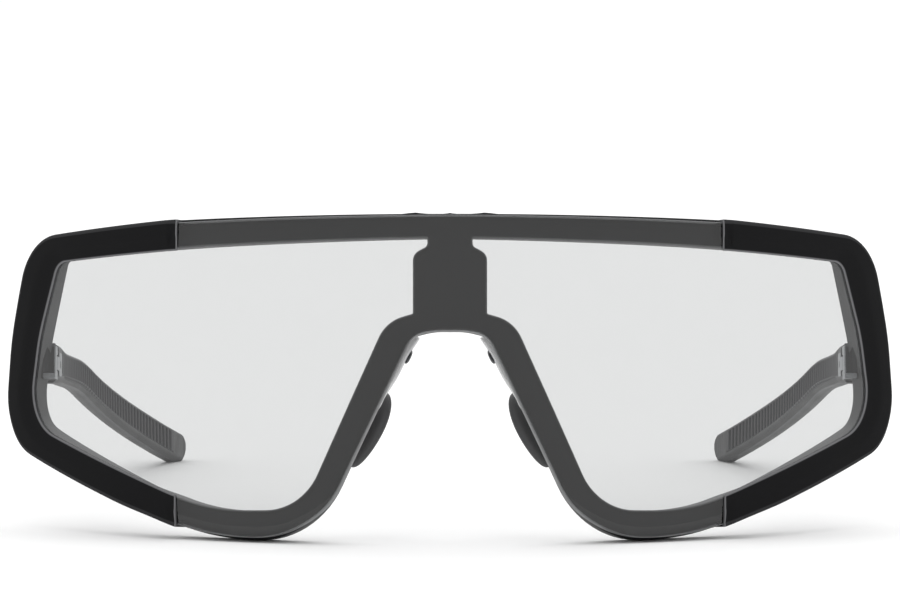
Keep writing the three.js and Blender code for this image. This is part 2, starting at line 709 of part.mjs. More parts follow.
// The surface the glasses stand on, set so that the lowest stretches of the rim are trimmed a little
function lowestOfRim() {
  const rim = outlinePoints(FRONT_CORNERS).map(({ x: u, y: v }) => onWrap(u, v, CHASSIS_BACK));
  return Math.min(...rim.map(({ y, z }) => z * Math.cos(LEAN) - y * Math.sin(LEAN)));
}
const FLOOR_LEVEL = -lowestOfRim() - FLOOR_TRIM;

const glasses = new THREE.Group();

function place(name, solid, finish, parent = glasses) {
  const mesh = new THREE.Mesh(toGeometry(solid), finish);
  mesh.name = name;
  parent.add(mesh);
  return mesh;
}

place("chassis", makeChassis(), chassisPlastic);
place("shield_lens", makeLens(), clearLens);

const pieces = [
  ["side_cover", makeCover(), coverPlastic],
  ...COVER_SCREW_SPOTS.map(([level, u, v]) => [`cover_screw_${level}`, coverScrew(u, v), screwSteel]),
  ["temple", makeTemple(), templePlastic],
  ["temple_grip", templeBar(gripPlaces(0), gripSection(0)), gripRubber],
  ["hinge_tang", makeTang(), hingeSteel],
  ["tang_rivet", tangRivet(), screwSteel],
  ["hinge_screw", hingeScrew(), screwSteel],
  ["nose_arm", makeNoseArm(), padCorePlastic],
  ["nose_arm_screw", armScrew(), screwSteel],
  ["nose_pad_pin", padPin(), screwSteel],
];
const padPieces = [
  ["nose_pad", makeNosePad(), padRubber],
  ["nose_pad_core", makePadCore(), padCorePlastic],
];

// Both sides are alike, so each piece is made once and the wearer's right one is its mirror image
for (const [sideName, sign] of [["left", 1], ["right", -1]]) {
  const side = new THREE.Group();
  side.scale.x = sign;
  const pad = new THREE.Group();
  pad.applyMatrix4(padMatrix);
  side.add(pad);
  for (const [name, solid, finish] of pieces) place(`${name}_${sideName}`, solid, finish, side);
  for (const [name, solid, finish] of padPieces) place(`${name}_${sideName}`, solid, finish, pad);
  glasses.add(side);
}

// Lean the assembly back and centre its box over the origin, standing on z = 0
glasses.rotation.x = -LEAN;
glasses.position.z = FLOOR_LEVEL;
glasses.updateMatrixWorld(true);
const bounds = new THREE.Box3().setFromObject(glasses, true);
glasses.position.y = -(bounds.min.y + bounds.max.y) / 2;

export default glasses;
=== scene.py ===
import json
import math

import bmesh
import bpy
import numpy as np
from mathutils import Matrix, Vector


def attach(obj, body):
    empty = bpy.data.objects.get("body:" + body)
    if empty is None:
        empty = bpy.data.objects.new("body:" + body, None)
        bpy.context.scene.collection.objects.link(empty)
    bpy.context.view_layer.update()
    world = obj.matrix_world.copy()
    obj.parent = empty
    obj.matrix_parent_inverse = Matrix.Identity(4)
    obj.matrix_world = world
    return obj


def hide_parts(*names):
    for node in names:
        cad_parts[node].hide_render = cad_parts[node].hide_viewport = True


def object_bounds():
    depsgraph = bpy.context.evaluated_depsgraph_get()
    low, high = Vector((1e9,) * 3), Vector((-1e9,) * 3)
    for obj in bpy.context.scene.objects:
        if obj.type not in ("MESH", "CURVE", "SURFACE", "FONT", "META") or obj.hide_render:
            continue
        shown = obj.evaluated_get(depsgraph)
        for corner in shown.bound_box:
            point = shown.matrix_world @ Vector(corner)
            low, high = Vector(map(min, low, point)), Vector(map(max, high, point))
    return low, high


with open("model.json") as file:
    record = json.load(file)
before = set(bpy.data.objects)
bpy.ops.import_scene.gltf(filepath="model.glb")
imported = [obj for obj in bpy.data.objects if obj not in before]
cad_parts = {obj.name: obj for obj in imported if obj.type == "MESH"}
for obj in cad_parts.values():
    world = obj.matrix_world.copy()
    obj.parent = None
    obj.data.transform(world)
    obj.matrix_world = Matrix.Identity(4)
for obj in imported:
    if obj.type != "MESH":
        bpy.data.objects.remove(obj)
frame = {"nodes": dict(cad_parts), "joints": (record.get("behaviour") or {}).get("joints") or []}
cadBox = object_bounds()
joints = {joint["name"]: joint for joint in frame["joints"]}
mm = 0.001

# The upright front: everything below is measured from the middle of the lens's top edge
front = {
    "wrapRadius": 92.0,
    "lean": math.radians(6.5),
    "hinge": np.array([65.4, 38.1, -21.1]),
    "seam": 44.4,  # where the covers end
    "lensFace": 0.5,
    "lensBack": 2.5,
    "chassisFace": 2.65,
    "chassisBack": 5.95,
    "coverFace": -0.5,
    "coverWall": 0.9,
    "coverDepth": 4.6,
}


def leanBack(points):
    # turns the upright frame back about the X axis
    x, y, z = np.moveaxis(np.asarray(points, float), -1, 0)
    cos, sin = math.cos(front["lean"]), math.sin(front["lean"])
    return np.stack([x, y * cos + z * sin, z * cos - y * sin], -1)


hingeAtRest = np.array(joints["temple_fold_left"]["pos_m"])
frontShift = hingeAtRest - leanBack(front["hinge"]) * mm


def toWorld(points):
    # leans the points back and sets them down, never below the surface the glasses stand on
    placed = leanBack(points) * mm + frontShift
    placed[..., 2] = np.maximum(placed[..., 2], 0.0)
    return placed


def onWrap(u, v, w):
    # a cylinder about an upright axis: the angle is u over the radius, the distance the radius less w
    angle = u / front["wrapRadius"]
    reach = front["wrapRadius"] - w
    x = reach * np.sin(angle)
    y = front["wrapRadius"] - reach * np.cos(angle)
    return np.stack(np.broadcast_arrays(x, y, v), -1)


def toLinear(hexColour):
    # sRGB hex to linear: a straight line in the darkest part, and the 2.4 power above it
    parts = [int(hexColour[i : i + 2], 16) / 255 for i in (1, 3, 5)]
    return tuple(p / 12.92 if p <= 0.04045 else ((p + 0.055) / 1.055) ** 2.4 for p in parts) + (1,)


def addNode(material, kind, inputs=None, **settings):
    # One node with its settings, each input either a value or the socket that feeds it. A Mix node's
    # inputs go by number: 0 is the share, 6 and 7 are two colours, 2 and 3 are two numbers
    tree = material.node_tree
    node = tree.nodes.new(kind)
    for name, value in settings.items():
        setattr(node, name, value)
    for name, value in (inputs or {}).items():
        if isinstance(value, bpy.types.NodeSocket):
            tree.links.new(value, node.inputs[name])
        else:
            node.inputs[name].default_value = value
    return node


def newMaterial(name):
    # a material with nothing in its tree yet
    material = bpy.data.materials.new(name)
    material.use_nodes = True
    material.node_tree.nodes.clear()
    return material


def finishMaterial(material, shader):
    # the shader goes to the surface
    addNode(material, "ShaderNodeOutputMaterial", {"Surface": shader.outputs[0]})
    return material


moulding = {
    "grainDetail": 2.0,
    "grainFalloff": 0.6,
    "mottleDetail": 3.0,
    "mottleFalloff": 0.55,
    "mottleRange": (0.3, 0.7),  # where nearly all of the noise lies
    "bump": 0.5,
}


def noiseInputs(place, size, detail, falloff):
    # a noise whose features are about this many millimetres across
    return {"Vector": place, "Scale": 1 / (size * mm), "Detail": detail, "Roughness": falloff}


def mouldedPlastic(name, look):
    # A moulded surface: fine spark-eroded grain as bump, broad mottling in colour and roughness,
    # and edges a little smoother and painted paler, a painted highlight, where the piece's own edge
    # attribute is high
    material = newMaterial(name)
    place = addNode(material, "ShaderNodeTexCoord").outputs["Object"]
    grain = addNode(
        material,
        "ShaderNodeTexNoise",
        noiseInputs(place, look["grain"], moulding["grainDetail"], moulding["grainFalloff"]),
    )
    mottle = addNode(
        material,
        "ShaderNodeTexNoise",
        noiseInputs(place, look["mottle"], moulding["mottleDetail"], moulding["mottleFalloff"]),
    )
    edge = addNode(material, "ShaderNodeAttribute", attribute_name="edge")
    tone = addNode(
        material,
        "ShaderNodeMix",
        {6: toLinear(look["dark"]), 7: toLinear(look["light"]), 0: mottle.outputs["Fac"]},
        data_type="RGBA",
    )
    # painted highlight: the colour turns paler where the edge attribute is high
    highlighted = addNode(
        material,
        "ShaderNodeMix",
        {6: tone.outputs[2], 7: toLinear(look["edgeHighlightTone"]), 0: edge.outputs["Fac"]},
        data_type="RGBA",
    )
    spread = addNode(
        material,
        "ShaderNodeMapRange",
        {
            "Value": mottle.outputs["Fac"],
            "From Min": moulding["mottleRange"][0],
            "From Max": moulding["mottleRange"][1],
            "To Min": look["roughness"] - look["spread"],
            "To Max": look["roughness"] + look["spread"],
        },
    )
    sleek = addNode(
        material,
        "ShaderNodeMix",
        {2: spread.outputs[0], 3: look["edgeRoughness"], 0: edge.outputs["Fac"]},
        data_type="FLOAT",
    )
    bump = addNode(
        material,
        "ShaderNodeBump",
        {
            "Height": grain.outputs["Fac"],
            "Strength": moulding["bump"],
            "Distance": look["depth"] * mm,
        },
    )
    shader = addNode(
        material,
        "ShaderNodeBsdfPrincipled",
        {
            "Base Color": highlighted.outputs[2],
            "Roughness": sleek.outputs[0],
            "Normal": bump.outputs[0],
            "IOR": look["ior"],
            "Specular IOR Level": look["specular"],
        },
    )
    return finishMaterial(material, shader)


# TR90 nylon, injection moulded and left satin: an even soft charcoal with a faint sheen; the opening's
# inner wall is painted much paler, a painted highlight for the lit wall
chassisNylon = mouldedPlastic("chassisNylonSatin", {
    "dark": "#161617", "light": "#1b1b1c", "edgeHighlightTone": "#6a6a6b", "grain": 0.4, "depth": 0.0025,
    "mottle": 7.0, "roughness": 0.5, "spread": 0.04, "edgeRoughness": 0.5, "ior": 1.53,
    "specular": 0.14,
})
# nylon moulded in a fine spark-eroded tool: the deepest, flattest black, with edges painted paler as a
# painted highlight
coverNylon = mouldedPlastic("coverNylonMatte", {
    "dark": "#151516", "light": "#19191a", "edgeHighlightTone": "#6e6e70", "grain": 0.42, "depth": 0.004,
    "mottle": 9.0, "roughness": 0.78, "spread": 0.05, "edgeRoughness": 0.36, "ior": 1.53,
    "specular": 0.07,
})
# the same nylon in the arms, satin and a shade greyer than the covers, with painted highlights along
# the top inner round and the other edges
templeNylon = mouldedPlastic("templeNylonSatin", {
    "dark": "#2c2c2d", "light": "#323233", "edgeHighlightTone": "#4c4c4e", "grain": 0.4, "depth": 0.002,
    "mottle": 8.0, "roughness": 0.46, "spread": 0.05, "edgeRoughness": 0.36, "ior": 1.53,
    "specular": 0.25,
})
# thermoplastic rubber moulded into the arms: matte, its rib tops painted paler as a painted highlight,
# so the grooves read as painted shade
gripRubber = mouldedPlastic("gripRubberRibbed", {
    "dark": "#0e0e0f", "light": "#131314", "edgeHighlightTone": "#525254", "grain": 0.35, "depth": 0.002,
    "mottle": 5.0, "roughness": 0.75, "spread": 0.06, "edgeRoughness": 0.6, "ior": 1.51,
    "specular": 0.15,
})
# soft silicone-like rubber pads: dull black, with a broad painted sheen where they turn
padRubber = mouldedPlastic("padRubberSoft", {
    "dark": "#303031", "light": "#363637", "edgeHighlightTone": "#444445", "grain": 0.3, "depth": 0.002,
    "mottle": 3.0, "roughness": 0.62, "spread": 0.06, "edgeRoughness": 0.55, "ior": 1.45,
    "specular": 0.42,
})
# unfilled nylon leaves, light grey and faintly translucent looking
armNylon = mouldedPlastic("armNylonLight", {
    "dark": "#cacacb", "light": "#d2d2d2", "edgeHighlightTone": "#d8d8d8", "grain": 0.3, "depth": 0.002,
    "mottle": 2.5, "roughness": 0.45, "spread": 0.05, "edgeRoughness": 0.35, "ior": 1.53,
    "specular": 0.5,
})

# the lens's cut and ground rim: frosted, so it gathers light and reads as a thin mid-grey line
lensGround = mouldedPlastic("lensRimGround", {
    "dark": "#5e5f60", "light": "#68696a", "edgeHighlightTone": "#6c6d6e", "grain": 0.25, "depth": 0.004,
    "mottle": 4.0, "roughness": 0.5, "spread": 0.06, "edgeRoughness": 0.4, "ior": 1.586,
    "specular": 0.4,
})


brushing = {
    "stretch": 0.12,  # the strokes run upright, this much finer across than along
    "detail": 3.0,
    "falloff": 0.5,
    "bump": 0.4,
    "depth": 0.006,
}


def brushedSteel(name, look):
    # Steel rubbed in one direction: noise stretched along the strokes moves the colour, the roughness
    # and the bump
    material = newMaterial(name)
    place = addNode(material, "ShaderNodeTexCoord").outputs["Object"]
    strokes = addNode(
        material,
        "ShaderNodeMapping",
        {"Vector": place, "Scale": (1.0, 1.0, brushing["stretch"])},
    )
    lines = addNode(
        material,
        "ShaderNodeTexNoise",
        noiseInputs(strokes.outputs[0], look["stroke"], brushing["detail"], brushing["falloff"]),
    )
    tone = addNode(
        material,
        "ShaderNodeMix",
        {6: toLinear(look["dark"]), 7: toLinear(look["light"]), 0: lines.outputs["Fac"]},
        data_type="RGBA",
    )
    rough = addNode(
        material,
        "ShaderNodeMapRange",
        {"Value": lines.outputs["Fac"], "To Min": look["smooth"], "To Max": look["rough"]},
    )
    bump = addNode(
        material,
        "ShaderNodeBump",
        {
            "Height": lines.outputs["Fac"],
            "Strength": brushing["bump"],
            "Distance": brushing["depth"] * mm,
        },
    )
    shader = addNode(
        material,
        "ShaderNodeBsdfPrincipled",
        {
            "Base Color": tone.outputs[2],
            "Metallic": 1.0,
            "Roughness": rough.outputs[0],
            "Normal": bump.outputs[0],
        },
    )
    return finishMaterial(material, shader)


# stainless steel, tumbled: a soft grey gleam without clear reflections
hingeSteel = brushedSteel("hingeSteelSatin", {
    "dark": "#8d8f91", "light": "#a4a6a8", "stroke": 0.2, "smooth": 0.36, "rough": 0.52,
})
# steel screws and pins with a black oxide finish, rubbed a little brighter by the driver
screwSteel = brushedSteel("screwSteelBlackened", {
    "dark": "#3b3c3e", "light": "#56585a", "stroke": 0.15, "smooth": 0.3, "rough": 0.48,
})


def clearPolycarbonate(look):
    # Optical polycarbonate, hard coated: light passes once through a faint grey tint on the way in,
    # and the coated outside gives a sharp Fresnel reflection; a very faint haze breaks the gloss
    material = newMaterial("lensPolycarbonateClear")
    place = addNode(material, "ShaderNodeTexCoord").outputs["Object"]
    haze = addNode(
        material,
        "ShaderNodeTexNoise",
        noiseInputs(place, look["haze"], look["hazeDetail"], look["hazeFalloff"]),
    )
    rough = addNode(
        material,
        "ShaderNodeMapRange",
        {"Value": haze.outputs["Fac"], "To Min": look["smooth"], "To Max": look["rough"]},
    )
    inside = addNode(material, "ShaderNodeNewGeometry").outputs["Backfacing"]
    tint = addNode(
        material,
        "ShaderNodeMix",
        {6: toLinear(look["tint"]), 7: (1, 1, 1, 1), 0: inside},
        data_type="RGBA",
    )
    through = addNode(material, "ShaderNodeBsdfTransparent", {"Color": tint.outputs[2]})
    gloss = addNode(
        material,
        "ShaderNodeBsdfGlossy",
        {"Color": (1, 1, 1, 1), "Roughness": rough.outputs[0]},
    )
    fresnel = addNode(material, "ShaderNodeFresnel", {"IOR": look["ior"]})
    outside = addNode(material, "ShaderNodeMath", {0: 1.0, 1: inside}, operation="SUBTRACT")
    share = addNode(
        material,
        "ShaderNodeMath",
        {0: fresnel.outputs[0], 1: outside.outputs[0]},
        operation="MULTIPLY",
    )
    mix = addNode(
        material,
        "ShaderNodeMixShader",
        {0: share.outputs[0], 1: through.outputs[0], 2: gloss.outputs[0]},
    )
    return finishMaterial(material, mix)


lensClear = clearPolycarbonate({
    "tint": "#cecfcf", "ior": 1.586, "haze": 14.0, "hazeDetail": 2.0, "hazeFalloff": 0.5,
    "smooth": 0.015, "rough": 0.035,
})
print("materials ready")

welding = {
    "merge": 2e-7,  # metres
    "degenerate": 1e-8,
    "middle": 1e-7,  # a face this near the middle plane is a wall inside the piece
}
sides = (("left", False), ("right", True))  # side of the wearer, and whether it is mirrored


def meshPiece(name, points, faces, material, body, edge=None, sharp=35, mirror=False, second=None):
    # One mesh from whole arrays, its doubles merged and its faces turned outwards. The wearer's right
    # piece is the left one with X turned round; second is another material and the faces it is on
    points = np.array(points, float).reshape(-1, 3)
    if mirror:
        points = points * [-1, 1, 1]
        faces = [tuple(reversed(face)) for face in faces]
    mesh = bpy.data.meshes.new(name)
    mesh.from_pydata(points, [], faces)
    if second:
        mesh.polygons.foreach_set("material_index", second[1])
    if edge is not None:
        layer = mesh.attributes.new("edge", "FLOAT", "POINT")
        layer.data.foreach_set("value", np.asarray(edge, float).ravel())
    work = bmesh.new()
    work.from_mesh(mesh)
    bmesh.ops.remove_doubles(work, verts=work.verts, dist=welding["merge"])
    bmesh.ops.dissolve_degenerate(work, edges=work.edges, dist=welding["degenerate"])
    middle = [f for f in work.faces if all(abs(v.co.x) < welding["middle"] for v in f.verts)]
    if middle:
        bmesh.ops.delete(work, geom=middle, context="FACES_ONLY")
    bmesh.ops.recalc_face_normals(work, faces=work.faces)
    work.to_mesh(mesh)
    work.free()
    mesh.materials.append(material)
    if second:
        mesh.materials.append(second[0])
    mesh.shade_smooth()
    mesh.set_sharp_from_angle(angle=math.radians(sharp))
    piece = bpy.data.objects.new(name, mesh)
    bpy.context.scene.collection.objects.link(piece)
    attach(piece, body)
    return piece


def gridFaces(rows, columns, closedRows=False, closedColumns=True, start=0):
    # quads between neighbouring rows and columns of a grid of points
    i = np.arange(rows if closedRows else rows - 1)[:, None]
    k = np.arange(columns if closedColumns else columns - 1)[None, :]
    a = i * columns + k
    b = i * columns + (k + 1) % columns
    c = ((i + 1) % rows) * columns + (k + 1) % columns
    d = ((i + 1) % rows) * columns + k
    quads = np.stack(np.broadcast_arrays(a, b, c, d), -1).reshape(-1, 4) + start
    return [tuple(quad) for quad in quads.tolist()]


def capFaces(rows, columns):
    # one face over each open end of a tube of rings
    return [tuple(range(columns)), tuple(range((rows - 1) * columns, rows * columns))]


def mirrorHalf(points, faces):
    # a half and its mirror image about the middle plane, in one set of arrays
    flat = points.reshape(-1, 3)
    flat[np.abs(flat[:, 0]) < welding["middle"], 0] = 0
    turned = [tuple(reversed([k + len(flat) for k in face])) for face in faces]
    return np.concatenate([flat, flat * [-1, 1, 1]]), faces + turned


def unit(vectors):
    # each vector over its own length
    return vectors / np.linalg.norm(vectors, axis=-1, keepdims=True)


def smooth(x, low, high):
    # 0 below, 1 above, and a smooth cubic rise between
    t = np.clip((x - low) / (high - low), 0, 1)
    return t * t * (3 - 2 * t)


def quarter(radius, steps, fromSide):
    # (inset, depth) along a quarter round from the wall to the face, or from the face to the wall
    angles = np.linspace(0, math.pi / 2, steps)
    inset = radius * (1 - np.cos(angles))
    depth = radius * (1 - np.sin(angles))
    order = slice(None) if fromSide else slice(None, None, -1)
    return list(zip(inset[order], depth[order]))


sharpRadius = 1e-4  # of a corner with no radius of its own


def roundedPath(corners, closed, arcSteps, lineSteps):
    # Points and right-hand normals along corners [u, v, radius]: the straight stretch that comes to
    # each corner, then the arc round it, with the same number of points at every corner. An arc that
    # turns by an angle starts its radius times the tangent of half that angle before the corner
    spots = np.array([corner[:2] for corner in corners], float)
    count = len(corners)
    arcs = []
    for i, here in enumerate(spots):
        isFirst, isLast = not closed and i == 0, not closed and i == count - 1
        after = unit(spots[(i + 1) % count] - here)
        before = after if isFirst else unit(here - spots[i - 1])
        after = before if isLast else after
        cross = before[0] * after[1] - before[1] * after[0]
        turn = math.atan2(cross, float(before @ after))
        radius = 0.0 if isFirst or isLast else max(corners[i][2], sharpRadius)
        arcStart = here - before * radius * math.tan(abs(turn) / 2)
        centre = arcStart + np.array([-before[1], before[0]]) * math.copysign(radius, turn)
        angles = turn * np.linspace(0, 1, arcSteps)
        cos, sin = np.cos(angles), np.sin(angles)
        arm = arcStart - centre
        arc = centre + np.stack([arm[0] * cos - arm[1] * sin, arm[0] * sin + arm[1] * cos], -1)
        along = [before[0] * cos - before[1] * sin, before[0] * sin + before[1] * cos]
        arcs.append((arc, np.stack(along, -1), arcStart, before))
    points, tangents = [], []
    for i, (arc, tangent, arcStart, before) in enumerate(arcs):
        if closed or i > 0:
            leaving = arcs[i - 1][0][-1]
            share = np.linspace(0, 1, lineSteps + 1, endpoint=False)[1:, None]
            points.append(leaving + (arcStart - leaving) * share)
            tangents.append(np.repeat(before[None], lineSteps, 0))
        points.append(arc)
        tangents.append(tangent)
    along = np.concatenate(tangents)
    return np.concatenate(points), np.stack([along[:, 1], -along[:, 0]], -1)


def resample(values, index):
    # rows of an array read at fractional positions, in a straight line between neighbours
    index = np.clip(index, 0, len(values) - 1)
    low = np.minimum(np.floor(index).astype(int), len(values) - 2)
    part = (index - low)[:, None]
    return values[low] * (1 - part) + values[low + 1] * part


def crossings(u, level):
    # fractional positions where a run of values passes a level
    gap = u - level
    hits = np.nonzero(gap[:-1] * gap[1:] < 0)[0]
    return hits + gap[hits] / (gap[hits] - gap[hits + 1])


def band(inner, innerNormal, outer, outerNormal, profile):
    # A body between two matched paths: each profile point is (mix, inset, depth, edge), at that share
    # of the way from the inner path to the outer, both moved into the material by the inset
    mix, inset, depth, edge = np.array(profile, float).T
    inset = inset[None, :, None]
    a = inner[:, None] + innerNormal[:, None] * inset
    b = outer[:, None] + outerNormal[:, None] * inset
    uv = a + (b - a) * mix[None, :, None]
    points = toWorld(onWrap(uv[..., 0], uv[..., 1], depth[None, :] + 0 * uv[..., 0]))
    return points, np.broadcast_to(edge, points.shape[:2])


# The rim behind the lens, as outlines of half of it: [u, v, radius] of each corner
chassis = {
    "outer": [
        [0, 0, 0], [46, -0.25, 60], [75.9, -1.6, 9], [80.4, -17.5, 40], [82.1, -32.9, 10],
        [39.4, -50.05, 46], [21.9, -50.05, 15], [6.3, -18.95, 3.2], [2.6, -18.1, 12],
        [0, -18.1, 0], [0, -6.2, 0], [0, -5, 0],
    ],
    "aperture": [
        [3.6, -3.75, 0.2], [40, -4.3, 60], [73.1, -4.95, 1.5], [77.9, -18.5, 30], [80.1, -29.6, 6],
        [40.3, -45.45, 40], [23.8, -45.45, 9.5], [10.2, -16.6, 6], [6.5, -15.57, 0],
        [5.9, -15.4, 0.3], [5.9, -6.2, 1.7], [3.6, -5, 0.8],
    ],
    "edgeRound": 0.3,
    "wallRow": 1.2,  # a row this far in from each face keeps the shading of the walls even
    "tabs": [[-5.6, 0.2], [0, 0.1], [5.6, 0.2]],  # low tabs that hold the lens: place, height
    "tabRadius": 6.0,
    "tabsAbove": -1.0,
    "underCover": 1.05,  # the rim is cut back under the covers
    "underCoverPast": (1.9, 2.4),  # between these distances past the seam
    "seamRows": (1.95, 2.35),
    "lowerRelief": 0.55,  # the opening is cut back behind the covers' lower run
    "reliefAcross": (45, 52),
    "reliefBelow": (25, 33),
    "faceSteps": 6,
    "roundSteps": 4,
    "arcSteps": 14,
    "lineSteps": 40,
}


def chassisProfile():
    # front face, outer wall, back face and inner wall, with a small round at each edge
    r, row, steps = chassis["edgeRound"], chassis["wallRow"], chassis["roundSteps"]
    face, back = front["chassisFace"], front["chassisBack"]
    across = np.linspace(0, 1, chassis["faceSteps"])
    rows = [(m, r, face, 0) for m in across]
    rows += [(1, i, face + d, 0) for i, d in quarter(r, steps, False)[1:]]
    rows += [(1, 0, w, 0) for w in (face + row, back - row)]
    rows += [(1, i, back - d, 0) for i, d in quarter(r, steps, True)]
    rows += [(m, r, back, 0) for m in across[::-1][1:]]
    # the inner wall and its rounds get edge 1, which paints them much paler: a painted highlight for
    # the lit band of the wall
    rows += [(0, i, back - d, 1) for i, d in quarter(r, steps, False)[1:]]
    rows += [(0, 0, w, 1) for w in (back - row, face + row)]
    rows += [(0, i, face + d, 1) for i, d in quarter(r, steps, True)[:-1]]
    return rows


def makeChassis():
    # A ring round one opening, from the rim's outline and the middle line in to the opening, and its
    # mirror image; the walls that would meet on the middle line are left out. A tab is a parabola
    steps = (chassis["arcSteps"], chassis["lineSteps"])
    outer, outerNormal = roundedPath(chassis["outer"], True, *steps)
    inner, innerNormal = roundedPath(chassis["aperture"], True, *steps)
    innerNormal = -innerNormal
    cuts = [crossings(outer[:, 0], front["seam"] + past) for past in chassis["seamRows"]]
    index = np.sort(np.concatenate([np.arange(len(outer), dtype=float), *cuts]))
    outer, outerNormal, inner, innerNormal = (
        resample(values, index) for values in (outer, outerNormal, inner, innerNormal)
    )
    offMiddle = outer[:, :1] > 1e-6
    onTop = outer[:, 1] > chassis["tabsAbove"]
    for place, height in chassis["tabs"]:
        lift = np.maximum(0, height - (outer[:, 0] - place) ** 2 / (2 * chassis["tabRadius"]))
        outer[:, 1] = np.where(onTop, np.maximum(outer[:, 1], lift), outer[:, 1])
    past = outer[:, 0] - front["seam"]
    under = smooth(past, *chassis["underCoverPast"]) * chassis["underCover"]
    outer = outer + outerNormal * under[:, None]
    outerNormal = outerNormal * offMiddle
    hidden = smooth(inner[:, 0], *chassis["reliefAcross"])
    hidden *= smooth(-inner[:, 1], *chassis["reliefBelow"])
    inner = inner + innerNormal * (chassis["lowerRelief"] * hidden)[:, None]
    points, edge = band(inner, innerNormal, outer, outerNormal, chassisProfile())
    both, faces = mirrorHalf(points, gridFaces(*points.shape[:2], closedRows=True))
    return both, faces, np.concatenate([edge.ravel(), edge.ravel()])


points, faces, edge = makeChassis()
chassisPiece = meshPiece("chassisRim", points, faces, chassisNylon, "front", edge)
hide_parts("chassis")
print("chassis ready", len(chassisPiece.data.polygons))

# The clear sheet, between its top and bottom edges
lens = {
    "top": [[0, 0, 0], [46, -0.25, 60], [75.9, -1.6, 9], [80.4, -17.5, 40], [81.23, -25, 0]],
    "bottom": [
        [0, -18.2, 0], [2.6, -18.2, 12], [5.7, -18.85, 3.2], [21.1, -50.05, 15],
        [39.4, -50.05, 46], [82.1, -32.9, 10], [81.23, -25, 0],
    ],
    "setback": 0.35,  # from the rim's outline, except along the nose and the ends
    "noSetback": (16, 17),
    "setbackAgain": (44, 49),
    "underCover": 1.2,
    "underCoverPast": (1.4, 2.4),
    "edgeRound": 0.14,
    "faceSteps": 21,
    "roundSteps": 4,
    "arcSteps": 24,
    "lineSteps": 60,
    "pairs": [(0, 40), (16, 40), (30, 30), (45.6, 5), (47, 50), (72, 40)],  # from u, columns
}


def walkPath(corners, pairs):
    # positions along a path: even steps of length between the places where it passes each u
    path, normal = roundedPath(corners, False, lens["arcSteps"], lens["lineSteps"])
    length = np.concatenate([[0], np.cumsum(np.linalg.norm(np.diff(path, axis=0), axis=1))])
    index = np.arange(len(path), dtype=float)
    marks = [crossings(path[:, 0], place)[0] for place, _ in pairs[1:]]
    marks = [0.0, *np.interp(marks, index, length), length[-1]]
    stations = [
        np.linspace(low, high, columns, endpoint=False)
        for (_, columns), low, high in zip(pairs, marks, marks[1:])
    ]
    position = np.interp(np.concatenate([*stations, marks[-1:]]), length + index * 1e-9, index)
    return resample(path, position), resample(normal, position)


def makeLens():
    # a sheet of matched columns between the top and bottom edges, closed over each edge by a round,
    # and mirrored about the middle
    top, topNormal = walkPath(lens["top"], lens["pairs"])
    bottom, bottomNormal = walkPath(lens["bottom"], lens["pairs"])
    bottomNormal = -bottomNormal
    for path, normal in ((top, topNormal), (bottom, bottomNormal)):
        flank = smooth(-path[:, 1], *lens["noSetback"])
        flank *= 1 - smooth(-path[:, 1], *lens["setbackAgain"])
        setback = lens["setback"] * (1 - flank)
        hidden = smooth(path[:, 0] - front["seam"], *lens["underCoverPast"])
        path += normal * (setback + (lens["underCover"] - setback) * hidden)[:, None]
    top[-1] = bottom[-1] = (top[-1] + bottom[-1]) / 2
    topNormal[-1] = bottomNormal[-1] = (topNormal[-1] + bottomNormal[-1]) / 2
    r, steps = lens["edgeRound"], lens["roundSteps"]
    face, back = front["lensFace"], front["lensBack"]
    across = np.linspace(0, 1, lens["faceSteps"])
    rows = [(m, r, face, 0) for m in across]
    rows += [(1, i, face + d, 1) for i, d in quarter(r, steps, False)[1:]]
    rows += [(1, i, back - d, 1) for i, d in quarter(r, steps, True)[:-1]]
    rows += [(m, r, back, 0) for m in across[::-1]]
    rows += [(0, i, back - d, 1) for i, d in quarter(r, steps, False)[1:]]
    rows += [(0, i, face + d, 1) for i, d in quarter(r, steps, True)[:-1]]
    points, edge = band(bottom, bottomNormal, top, topNormal, rows)
    columns = points.shape[0]
    both, faces = mirrorHalf(points, gridFaces(*points.shape[:2]))
    onRim = edge[0] + np.roll(edge[0], -1) > 0.5
    return both, faces, np.tile(onRim, 2 * (columns - 1)).astype(np.int32)


points, faces, rim = makeLens()
lensPiece = meshPiece("shieldLens", points, faces, lensClear, "front", second=(lensGround, rim))
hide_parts("shield_lens")
print("lens ready", len(lensPiece.data.polygons))

# The matte frame over each end of the lens, and its window
cover = {
    "outer": [
        [36, -0.2, 0], [46, -0.25, 60], [75.9, -1.6, 9], [80.4, -17.5, 40], [82.1, -32.9, 10],
        [39.4, -50.05, 46], [20, -50.05, 0],
    ],
    "window": [
        [36, -4.9, 0], [46, -5.05, 0], [68.9, -5.8, 2.5], [73.4, -17.4, 30], [76, -30.9, 8],
        [39.4, -45.08, 40], [20, -45.08, 0],
    ],
    "proud": (0.1, 0.2, 0.35),  # outside the rim: along the top, more at the side, more below
    "sideFrom": (2, 12),  # down from the top edge
    "sideTo": (36, 48),
    "belowFrom": (30, 36),
    "belowAcross": (46, 56),
    "skinBack": 0.4,
    "skinLeast": 0.12,
    "innerFall": 0.62,  # how far the face falls back at the window
    "outerFall": 0.05,
    "riseShare": 0.55,  # the face is at its full height this far across
    "rollPower": 4,
    "faceRows": (0.04, 0.96, 16),
    "innerRound": 0.13,
    "innerRoundSteps": 5,
    "outerRound": 0.6,
    "outerRoundSteps": 8,
    # share of painted highlight on the outer round
    "outerHighlight": 0.15,
    "wallRows": (1.5, 3.0),
    "wallBevel": 0.2,
    "bevelCut": 0.06,
    # share of painted highlight on the cut of the back bevel
    "bevelHighlight": 0.5,
    "wallInside": 2.0,
    "endRound": 0.16,
    "endFall": 0.5,
    "endFallLength": 1.6,
    "endSteps": [0.02, 0.05, 0.1, 0.16, 0.4, 0.8, 1.2, 1.6],
    "arcSteps": 24,
    "lineSteps": 60,
}


